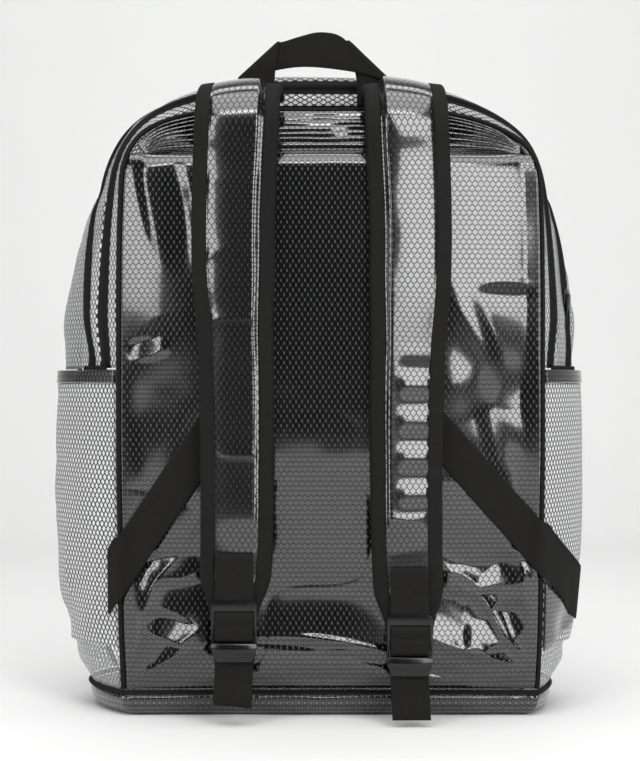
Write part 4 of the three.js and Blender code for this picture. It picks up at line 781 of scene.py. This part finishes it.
# The straps.
strap = {"width": 56, "spacing": 108, "thickness": 9, "reach": 23, "film": 0.8, "lip": 9.5, "wall": 1.0,
         "archRise": 12, "web": 25, "webThickness": 1.3, "webGap": 0.35}
archRows = [(0.10, 0.36), (0.20, 0.62), (0.44, 0.66), (0.66, 0.32), (0.82, -0.42), (0.91, -1.50)]
legRows = [(0.86, 0.972, 1.015), (0.93, 0.880, 1.035), (0.98, 0.760, 1.030), (1.00, 0.600, 0.995),
           (1.04, 0.450, 0.985), (1.10, 0.320, 0.990), (1.16, 0.245, 1.010), (1.20, 0.180, 1.025)]
strapWidths = np.array([(0.00, 0.98, 0.55), (0.08, 0.99, 0.80), (0.16, 1.00, 1.00), (0.40, 0.98, 1.00),
                        (0.55, 0.89, 1.00), (0.80, 0.86, 1.00), (0.92, 0.84, 0.80), (1.00, 0.55, 0.60)])
strapSides = {
    "left": {"side": -1, "shift": -0.97, "drop": 0, "width": 1, "anchor": 100.1, "run": 9, "lean": (0.56, 0.83),
             "tail": 14.0, "puff": 3.2, "apex": 16, "ripple": 0},
    "right": {"side": 1, "shift": 3.46, "drop": 9.1, "width": 0.98, "anchor": 112.9, "run": 58,
              "lean": (0.67, 0.743), "tail": 4.9, "puff": 2.4, "apex": -28, "ripple": 0.55},
}


def tableValue(column, at):
    keys = strapWidths[:, 0]
    row = np.clip(np.searchsorted(keys, at), 1, len(keys) - 1)
    share = (at - keys[row - 1]) / (keys[row] - keys[row - 1])
    return mix(strapWidths[row - 1, column], strapWidths[row, column], smooth(share, 0, 1))


def strapFrames(which, steps):
    centre = which["side"] * strap["spacing"] / 2 + which["shift"]
    seam = curvePoints(seams[0], arcAtX(centre * 0.93))
    reach = body["yokeLean"] + strap["reach"]
    arch = [(centre * mix(0.93, 1, forward), seam[1] - forward * reach, seam[2] + rise * strap["archRise"] + 2.2)
            for forward, rise in archRows]
    leg = [(centre * across, -out * strap["reach"],
            up * body["backHeight"] - which["drop"] * float(smooth(1 - up, 0.3, 0.8)))
           for out, up, across in legRows]
    shares = np.linspace(0, 1, steps + 1)
    middle, length = evenPoints(arch + leg, shares)
    tangent = unit(np.gradient(middle, axis=0))
    across = unit(np.array([1.0, 0, 0]) - tangent * tangent[:, :1])
    out = np.cross(tangent, across)
    half = which["width"] * strap["width"] * tableValue(1, shares) / 2
    thick = strap["thickness"] * tableValue(2, shares)
    return {"middle": middle, "across": across, "out": out, "half": half, "thick": thick, "along": shares,
            "length": length}


def padRise(frames, a):
    limit = (frames["half"] - strap["wall"] - body["gap"])[:, None]
    return frames["thick"][:, None] / 2 * (1 - 0.38 * np.clip(np.abs(a) / limit, 0, 1) ** 4)


def placed(frames, a, b):
    return (frames["middle"][:, None] + frames["across"][:, None] * a[..., None]
            + frames["out"][:, None] * b[..., None])


def makeStrap(label, which):
    frames = strapFrames(which, 220)
    run = (frames["along"] * frames["length"])[:, None]
    # padding
    limit = (frames["half"] - strap["wall"] - body["gap"])[:, None]
    a = np.linspace(-1, 1, 13)[None] * limit
    rise = padRise(frames, a)
    pad = closedSheet(f"strapPad_{label}", placed(frames, a, rise), placed(frames, a, -rise),
                      np.stack(np.broadcast_arrays(a, run), -1))
    finishPiece(pad, padCloth, "black_pad", f"strap_pad_{label}")
    # film face, slightly loose between its two bindings
    reach = (frames["half"] - strap["lip"] + 0.2)[:, None]
    a = np.linspace(-1, 1, 41)[None] * reach
    inside = smooth(1 - np.abs(a / reach), 0, np.where(a * which["apex"] > 0, 0.3, 0.12))
    seed = 60 if which["side"] < 0 else 70
    waves = 0.5 * softNoise(run, a, 30, seed) + 0.45 * creases(run * 0.9, a, 40, seed + 1)
    bulge = (a - which["apex"]) ** 2
    puff = which["puff"] * (np.maximum(bulge[:, :1], bulge[:, -1:]) - bulge) / 1000
    height = frames["middle"][:, 2:3]
    puff = puff * smooth(height, 112, 135)
    rippled = smooth(height, 120, 150) * (1 - smooth(height, 225, 250)) * smooth(a, -9, 0)
    puff = puff + which["ripple"] * rippled * np.sin(height * 2 * math.pi / 24)
    rise = padRise(frames, a) + body["gap"] + strap["film"] - 0.4 + (waves + puff) * inside
    film = closedSheet(f"strapFilm_{label}", placed(frames, a, rise), placed(frames, a, rise - 0.5),
                       np.stack(np.broadcast_arrays(a, run), -1))
    finishPiece(film, strapFilm, "backed_film", f"strap_film_{label}")
    # binding over each edge
    for edge, sign in (("inner", -which["side"]), ("outer", which["side"])):
        half = frames["half"][:, None]
        lipAt = half - strap["lip"]
        riseAt = padRise(frames, lipAt) + body["gap"] + strap["wall"]
        edgeRise = padRise(frames, limit) + body["gap"] + strap["wall"]
        turn = np.linspace(0, 1, 25)[None]
        flat = np.clip(turn * 2.6, 0, 1), np.clip((1 - turn) * 2.6, 0, 1)
        round1 = np.clip((turn - 1 / 2.6) / (1 - 2 / 2.6), 0, 1) * math.pi
        core = half - 2.6
        aa = np.where(turn < 1 / 2.6, mix(lipAt, core, flat[0]),
                      np.where(turn > 1 - 1 / 2.6, mix(lipAt, core, flat[1]),
                      core + 2.6 * np.sin(round1)))
        bb = np.where(turn < 1 / 2.6, mix(riseAt, edgeRise + 0.2, flat[0]),
                      np.where(turn > 1 - 1 / 2.6, -mix(riseAt, edgeRise + 0.2, flat[1]),
                               (edgeRise + 0.2) * np.cos(round1)))
        wobble = 0.18 * softNoise(run, turn * 20, 12, seed + 5 + sign)
        outer = placed(frames, sign * (aa + wobble * 0.5), bb + wobble * np.sign(bb))
        inner = placed(frames, sign * (aa - 0.7), bb * (1 - 0.7 / np.maximum(np.abs(edgeRise), 1)))
        uv = np.stack(np.broadcast_arrays(turn * 26, run), -1)
        binding = closedSheet(f"strapBinding_{label}_{edge}", outer, inner, uv)
        finishPiece(binding, grosgrain, "black_binding", f"strap_binding_{label}_{edge}")


print("straps start")
for label, which in strapSides.items():
    makeStrap(label, which)


# Webbing: each piece is a row of rulings from one edge to the other, with the way its face looks.
def ribbon(name, rulings, material, slot, node, detail=6, thickness=None):
    thickness = thickness or strap["webThickness"]
    a, b, normal = (np.array([r[k] for r in rulings], float) for k in range(3))
    at = np.linspace(0, 1, (len(rulings) - 1) * detail + 1)
    a, b, normal = curvePoints(a, at), curvePoints(b, at), unit(curvePoints(normal, at))
    share = np.array([0, 0.02, 0.05, 0.12, 0.25, 0.5, 0.75, 0.88, 0.95, 0.98, 1])[None]
    half = thickness / 2 * np.clip(0.45 + 14 * np.minimum(share, 1 - share), 0.45, 1)
    middle = mix(a[:, None], b[:, None], share[..., None])
    run = runAlong((a + b) / 2)[:, None]
    uv = np.stack(np.broadcast_arrays(share * strap["web"], run), -1)
    away = normal[:, None] * half[..., None]
    piece = closedSheet(name, middle + away, middle - away, uv)
    return finishPiece(piece, material, slot, node)


def turned(degrees):
    return np.array([0, -math.cos(math.radians(degrees)), math.sin(math.radians(degrees))])


lock = {"width": 29.5, "height": 40, "plate": 3.2, "cross": 1.2, "crossHeight": 3, "patch": 30}


def lockSeat(which):
    frames = strapFrames(which, 24)
    end = frames["middle"][-1]
    middleRise = padRise(frames, np.zeros((25, 1)))[:, 0]
    front = np.min(frames["middle"][-4:, 1] - middleRise[-4:]) - 0.3 - strap["film"]
    crossY = front - strap["webGap"] - strap["webThickness"] - 0.3 - lock["cross"] / 2
    back = crossY - lock["cross"] / 2 - 0.3 - strap["webThickness"] - strap["webGap"]
    return {"x": end[0] - which["side"] * 0.6, "top": end[2] + 0.36 * lock["height"], "front": front, "back": back,
            "crossY": crossY}


def level(x, y, z, half, normal):
    return (x - half, y, z), (x + half, y, z), normal


lockRoute = [
    (-0.95, 0.62, 0), (-0.80, 0.36, 0), (-0.35, 0.225, -50), (0.55, 0.197, -90), (1.30, 0.235, -140),
    (1.35, 0.330, 180), (1.22, 0.400, 180), (1.35, 0.470, 180), (1.30, 0.600, 165), (1.05, 0.638, 125),
    (0.40, 0.655, 105), (-0.34, 0.70, 150), (-0.36, 0.80, 180), (-0.30, 1.04, 180),
]


def backFace(x, z):
    backHalf = body["backWidth"] / 2 - body["piping"] - body["gap"]
    across = np.clip((x - body["backShift"]) / backHalf, -1, 1)
    up = np.clip((z - panelFoot) / (body["backHeight"] - panelFoot), 0, 1)
    return -(body["backCrown"] * crownShape(across, up) + 1.3)


def webbingHeight(which, t, d):
    seam = curvePoints(seams[0], seamAtHeight(0, which["side"], which["anchor"]))
    spot = bandPlain(np.array([t]), np.array([[d]]))[0, 0]
    return which["anchor"] - abs(spot[0] - seam[0]) * which["lean"][1] / which["lean"][0]


def webbingRulings(which):
    seat = lockSeat(which)
    half = strap["web"] / 2
    inward = -which["side"]
    along = unit(np.array([inward * which["lean"][0], 0, which["lean"][1]]))
    upper = unit(np.array([-along[2] * inward, 0, along[0] * inward]))
    anchor = curvePoints(seams[0], seamAtHeight(0, which["side"], which["anchor"])) * (1, 0, 1)
    strapX = which["side"] * strap["spacing"] / 2 + which["shift"]
    reach = abs((strapX - anchor[0]) / along[0])
    crease = unit(along + (0, 0, -1))
    if crease[0] * inward < 0:
        crease = -crease
    fold = anchor + along * reach
    creaseHalf = half / abs(np.dot(crease, upper))
    rulings = []

    def onBack(p, extra):
        y = min(backFace(p[0], p[2]), -(body["piping"] + 0.3)) - strap["webGap"] - strap["webThickness"] / 2 - extra
        return np.array([p[0], y, p[2]])
    tall = strap["web"] * math.hypot(*which["lean"]) / which["lean"][0] / 2
    t = float(seamAtHeight(1, which["side"], which["anchor"] - 10))
    for d in np.linspace(which["run"], zips["start"], 3 if which["side"] < 0 else 7):
        z = webbingHeight(which, t, d)
        edges = []
        for up in (tall, -tall):
            at = np.array([float(seamAtHeight(1, which["side"], z + up))])
            dd = np.array([[d]])
            plain = bandPlain(at, dd)
            lift = strap["webGap"] + strap["webThickness"] / 2 + 1.3 + body["piping"] * math.exp(-d / 6)
            lift = lift - foldDepth(at, dd, plain)[0, 0] * body["pocketRoom"]
            spot = (plain + bandNormals(at, dd) * lift)[0, 0]
            edges.append((spot[0], spot[1], z + up))
        rulings.append((edges[0], edges[1], bandNormals(np.array([t]), np.array([[d]]))[0, 0]))
    facing = np.array([0, -1.0, 0])
    for share in (0, 0.08, 0.2, 0.4, 0.6, 0.8, 0.92):
        middle = anchor + along * share * reach
        straight = float(smooth(share, 0, 0.3) * (1 - smooth(share, 0.75, 1)))
        slant = np.array([0, 0, tall]) if share < 0.5 else -crease * creaseHalf
        ruling = mix(slant, upper * half, straight)
        over = strap["webGap"] if share == 0 else 0
        rulings.append((onBack(middle + ruling, over), onBack(middle - ruling, over), facing))
    turnOut = unit(np.array([-crease[2] * inward, 0, crease[0] * inward]))
    if turnOut[2] < 0:
        turnOut = -turnOut
    a, b = fold - crease * creaseHalf, fold + crease * creaseHalf
    layer = strap["webThickness"] + strap["webGap"]
    rulings.append((onBack(a, 0), onBack(b, 0), facing))
    rulings.append((onBack(a, layer / 2) + turnOut * layer / 2, onBack(b, layer / 2) + turnOut * layer / 2,
                    turnOut))
    rulings.append((onBack(a, layer), onBack(b, layer), -facing))
    frames = strapFrames(which, 24)
    zs, ys = frames["middle"][8:, 2][::-1], (frames["middle"][8:, 1] + frames["thick"][8:] / 2)[::-1]

    def behind(z):
        return float(np.interp(z, zs, ys)) + 0.3 + strap["wall"] + strap["webGap"] + strap["webThickness"] / 2

    def flipped(x, y, z, normal):
        a, b, n = level(x, y, z, half, normal)
        return (a, b, n) if which["side"] < 0 else (b, a, n)
    endZ = frames["middle"][-1, 2]
    for z in np.linspace(fold[2] - strap["web"], endZ + 1, 6):
        x = mix(strapX, seat["x"], 1 - (z - endZ) / (fold[2] - endZ))
        rulings.append(flipped(x, behind(z), z, -facing))
    under = endZ - 5

    def plateY(out):
        return seat["back"] - out * lock["plate"]
    low = seat["top"] - lockRoute[0][1] * lock["height"]
    rulings.append(flipped(seat["x"], mix(behind(endZ), plateY(-0.95), 0.2), under, turned(215)))
    rulings.append(flipped(seat["x"], mix(behind(endZ), plateY(-0.95), 0.55), min(under - 2.5, low - 3),
                           turned(265)))
    rulings.append(flipped(seat["x"], mix(behind(endZ), plateY(-0.95), 0.93), low - 1.5, turned(330)))
    for out, down, turn in lockRoute:
        rulings.append(flipped(seat["x"], plateY(out), seat["top"] - down * lock["height"], turned(turn)))
    tailTop = seat["top"] - 1.04 * lock["height"]
    for share in (0.35, 0.7, 1):
        x = seat["x"] + which["side"] * 1.1 * share
        rulings.append(flipped(x, plateY(-0.30) - 2.2 * share, mix(tailTop, which["tail"], share), -facing))
    if which["side"] < 0:
        a, b, n = rulings[-1]
        rulings[-1] = (a[0], a[1], a[2] + 1.4), (b[0], b[1], b[2] - 1.4), n
    return rulings


def patchRulings(seat):
    half = strap["web"] / 2
    backLeg = seat["front"] - strap["webGap"] - strap["webThickness"] / 2
    frontLeg = seat["crossY"] - lock["cross"] / 2 - 0.3 - strap["webThickness"] / 2
    frontHigh = backLeg - strap["webThickness"] - strap["webGap"]
    crossZ = seat["top"] - 0.11 * lock["height"]
    low = crossZ - lock["crossHeight"] / 2 - 0.3 - strap["webThickness"] / 2
    top = seat["top"]
    stations = [
        (backLeg, top + lock["patch"] * 0.8, 180), (backLeg, crossZ, 180), (backLeg - 0.35, low + 0.55, 225),
        (seat["crossY"], low, 270), (frontLeg + 0.35, low + 0.55, 315), (frontLeg, crossZ, 360),
        (frontLeg, top - 0.4, 360), (frontHigh, top + 5, 360), (frontHigh, top + lock["patch"], 360),
    ]
    return [level(seat["x"], y, z, half, turned(turn)) for y, z, turn in stations]


haul = {"height": 51, "span": 106, "lean": 0.07, "outer": 14.0, "inner": 16.1}
haulRows = [
    ((-0.525, 0.385), (-0.262, 0.880), 0), ((-0.515, 0.395), (-0.250, 0.893), 1),
    ((-0.270, 0.520), (-0.120, 0.970), 1), ((-0.110, 0.560), (-0.010, 1.020), 0.5),
    ((0.110, 0.525), (0.100, 0.998), 0), ((0.330, 0.440), (0.150, 0.950), 0),
    ((0.470, 0.330), (0.178, 0.905), 0), ((0.480, 0.322), (0.190, 0.895), 1),
]


def haulRulings():
    front = curvePoints(seams[0], arcAtX(-haul["span"] * 0.42))[1] - body["piping"] - strap["webThickness"]
    layer = strap["webThickness"] + strap["webGap"]

    def spot(place, depth):
        rise = place[1] * haul["height"]
        return np.array([place[0] * haul["span"] - 0.6, front - haul["lean"] * rise + depth * layer,
                         arcHeight + rise])

    def foot(x, depth, lift=0):
        rise = curvePoints(seams[0], arcAtX(x))[2] - arcHeight + body["piping"] + 0.3 + lift
        return np.array([x, front - haul["lean"] * rise + depth * layer, arcHeight + rise])
    rows = [(spot(a, depth), spot(b, depth)) for a, b, depth in haulRows]
    out = np.array([0, -1.0, 0])
    leftX, rightX, wide = rows[0][0][0], rows[-1][0][0], strap["web"]
    bendLeft, bendRight = np.array([-0.67, 0, 0.74]), np.array([0.67, 0, 0.74])
    step = 0.55 * layer
    inside = [mix(rows[k][0], rows[k + 1][0], 0.5) for k in (0, 6)]
    outside = [mix(rows[k][1], rows[k + 1][1], 0.5) for k in (0, 6)]
    left = [(foot(leftX, 0), foot(leftX + wide, 0), out),
            (foot(leftX, 0, haul["outer"]), foot(leftX + wide, 0, haul["inner"]), out), (*rows[0], out),
            (inside[0] + bendLeft * step, outside[0] + bendLeft * step, bendLeft), (*rows[1], -out)]
    right = [(inside[1] + bendRight * step, outside[1] + bendRight * step, -bendRight), (*rows[7], out),
             (foot(rightX, 1, haul["outer"]), foot(rightX - wide, 1, haul["inner"]), out),
             (foot(rightX, 1), foot(rightX - wide, 1), out)]
    return left + [(*row, -out) for row in rows[2:7]] + right


for label, which in strapSides.items():
    seat = lockSeat(which)
    ribbon(f"strapWebbing_{label}", webbingRulings(which), webbing, "black_webbing", f"strap_webbing_{label}", 5)
    ribbon(f"strapPatch_{label}", patchRulings(seat), webbing, "black_webbing", f"strap_patch_{label}", 6)
ribbon("haulLoop", haulRulings(), webbing, "black_webbing", "haul_loop", 6)
print("webbing made")


# Hard pieces: the solids' own forms, merged, with their edges rounded.
def rounded(name, node, width, material, slot):
    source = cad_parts[node]
    bpy.ops.object.select_all(action="DESELECT")
    piece = bpy.data.objects.new(name, source.data.copy())
    bpy.context.scene.collection.objects.link(piece)
    piece.data.materials.clear()
    bpy.context.view_layer.objects.active = piece
    piece.select_set(True)
    bpy.ops.object.mode_set(mode="EDIT")
    bpy.ops.mesh.select_all(action="SELECT")
    bpy.ops.mesh.remove_doubles(threshold=0.00001)
    bpy.ops.mesh.dissolve_limited(angle_limit=math.radians(3))
    bpy.ops.object.mode_set(mode="OBJECT")
    bevel = piece.modifiers.new("edges", "BEVEL")
    bevel.width = width / 1000
    bevel.segments = 3
    bevel.angle_limit = math.radians(28)
    bpy.ops.object.modifier_apply(modifier="edges")
    bpy.ops.object.shade_smooth_by_angle(angle=math.radians(50))
    return finishPiece(piece, material, slot, node)


for name, node, width in (("ladderLock_left", "ladder_lock_left", 0.5),
                          ("ladderLock_right", "ladder_lock_right", 0.5),
                          ("mainSlider", "main_slider", 0.6), ("secondSlider", "second_slider", 0.6),
                          ("zipPull", "zip_pull", 0.4)):
    rounded(name, node, width, acetal, "black_plastic")


def makeTab():
    which = strapSides["right"]
    anchorT = float(seamAtHeight(1, 1, which["anchor"] - 10))
    tall = strap["web"] * math.hypot(*which["lean"]) / which["lean"][0] / 2
    rows = []
    ds = np.linspace(zips["start"], which["run"] - 3.4, 25)
    under = [webbingHeight(which, anchorT, d) - tall - 0.9 for d in ds]
    low = under[-1] - 2
    for out, d, top in zip(np.linspace(0, 1, 25), ds, under):
        bottom = mix(body["pocketFloor"] - 2, low, out)
        line = []
        for z in np.linspace(top, bottom, 13):
            at = np.array([float(seamAtHeight(1, 1, z))])
            dd = np.array([[d]])
            plain = bandPlain(at, dd)
            normal = bandNormals(at, dd)[0, 0]
            sunk = foldDepth(at, dd, plain)[0, 0] * body["pocketRoom"]
            line.append(np.concatenate([plain[0, 0] - normal * sunk, normal, [d, z]]))
        rows.append(line)
    rows = np.array(rows)
    spot, normal, uv = rows[..., :3], rows[..., 3:6], rows[..., 6:]
    piece = closedSheet("sideTab_right", spot + normal * 2.0, spot + normal * 1.2, uv)
    finishPiece(piece, hemFilm, "backed_film", "side_tab_right")


makeTab()
print("hard pieces and tab made")


# Studio: one pale sheet that is floor and backdrop, soft lights, the camera of the photo. Sizes in metres.
sweep = {"half": 4.0, "front": -4.0, "back": 2.0, "bend": 0.8, "height": 4.0}


def makeSweep():
    turn = np.linspace(0, math.pi / 2, 25)
    profile = ([(sweep["front"], 0.0)]
               + [(sweep["back"] - sweep["bend"] * (1 - math.sin(a)), sweep["bend"] * (1 - math.cos(a)))
                  for a in turn]
               + [(sweep["back"], sweep["height"])])
    verts = [(x, y, z) for y, z in profile for x in (-sweep["half"], sweep["half"])]
    faces = [[2 * k, 2 * k + 1, 2 * k + 3, 2 * k + 2] for k in range(len(profile) - 1)]
    mesh = bpy.data.meshes.new("studioSweep")
    mesh.from_pydata(verts, [], faces)
    mesh.polygons.foreach_set("use_smooth", [True] * len(faces))
    piece = bpy.data.objects.new("studioSweep", mesh)
    bpy.context.scene.collection.objects.link(piece)
    material, tree = newMaterial("pale studio paint")     # matt emulsion, rolled, faintly mottled
    place = addNode(tree, "ShaderNodeTexCoord").outputs["Object"]
    mottle = addNode(tree, "ShaderNodeTexNoise", {"Scale": 2.0, "Detail": 2.0}, {"Vector": place}).outputs[0]
    paint = addNode(tree, "ShaderNodeBsdfPrincipled", {"Roughness": 0.8},
                    {"Base Color": blend(tree, mottle, "d9dad9", "dfdfde")}).outputs[0]
    addNode(tree, "ShaderNodeOutputMaterial", links={"Surface": paint})
    mesh.materials.append(material)


makeSweep()

lights = {
    "rightSoftbox": {"at": (0.72, -1.57, 0.83), "look": (0, 0, 0.3), "size": (0.74, 1.25), "power": 17},
    "leftSoftbox": {"at": (-0.94, -1.38, 0.84), "look": (0, 0, 0.28), "size": (0.40, 1.06), "power": 6.5},
    "topSoftbox": {"at": (0.0, -0.75, 1.9), "look": (0, -0.3, 0.2), "size": (1.8, 1.8), "power": 32},
    "pleatStrip": {"at": (0.0, -1.25, 1.5), "look": (0, -0.04, 0.4), "size": (1.3, 0.16), "power": 5},
    "leftFill": {"at": (-1.5, -0.35, 0.5), "look": (0, 0, 0.25), "size": (0.6, 1.0), "power": 8},
    "rightFill": {"at": (1.5, -0.35, 0.5), "look": (0, 0, 0.25), "size": (0.6, 1.0), "power": 8},
    "backdropLight": {"at": (0.0, 0.7, 2.3), "look": (0, 2.0, 0.5), "size": (2.6, 0.8), "power": 22},
    "lowBackdropLight": {"at": (0.0, 0.7, 1.2), "look": (0, 1.9, 0.0), "size": (2.4, 0.3), "power": 3},
}
for name, setting in lights.items():
    lamp = bpy.data.lights.new(name, "AREA")
    lamp.shape = "RECTANGLE"
    lamp.size, lamp.size_y = setting["size"]
    lamp.energy = setting["power"]
    holder = bpy.data.objects.new(name, lamp)
    bpy.context.scene.collection.objects.link(holder)
    way = np.array(setting["look"], float) - setting["at"]
    holder.location = setting["at"]
    holder.rotation_euler = Vector(way).to_track_quat("-Z", "Y").to_euler()

world = bpy.context.scene.world or bpy.data.worlds.new("studio")
bpy.context.scene.world = world
bpy.context.scene.view_settings.view_transform = "Standard"
world.use_nodes = True
world.node_tree.nodes["Background"].inputs[0].default_value = srgb("b8babb")
world.node_tree.nodes["Background"].inputs[1].default_value = 0.1

camera = bpy.data.cameras.new("photo camera")
camera.sensor_width = 36
camera.lens = 36 * 1949 / 761
cameraHolder = bpy.data.objects.new("photoCamera", camera)
bpy.context.scene.collection.objects.link(cameraHolder)
cameraHolder.location = toFrame((0, -1300, 225))
cameraHolder.rotation_euler = (math.pi / 2, 0, 0)
bpy.context.scene.camera = cameraHolder
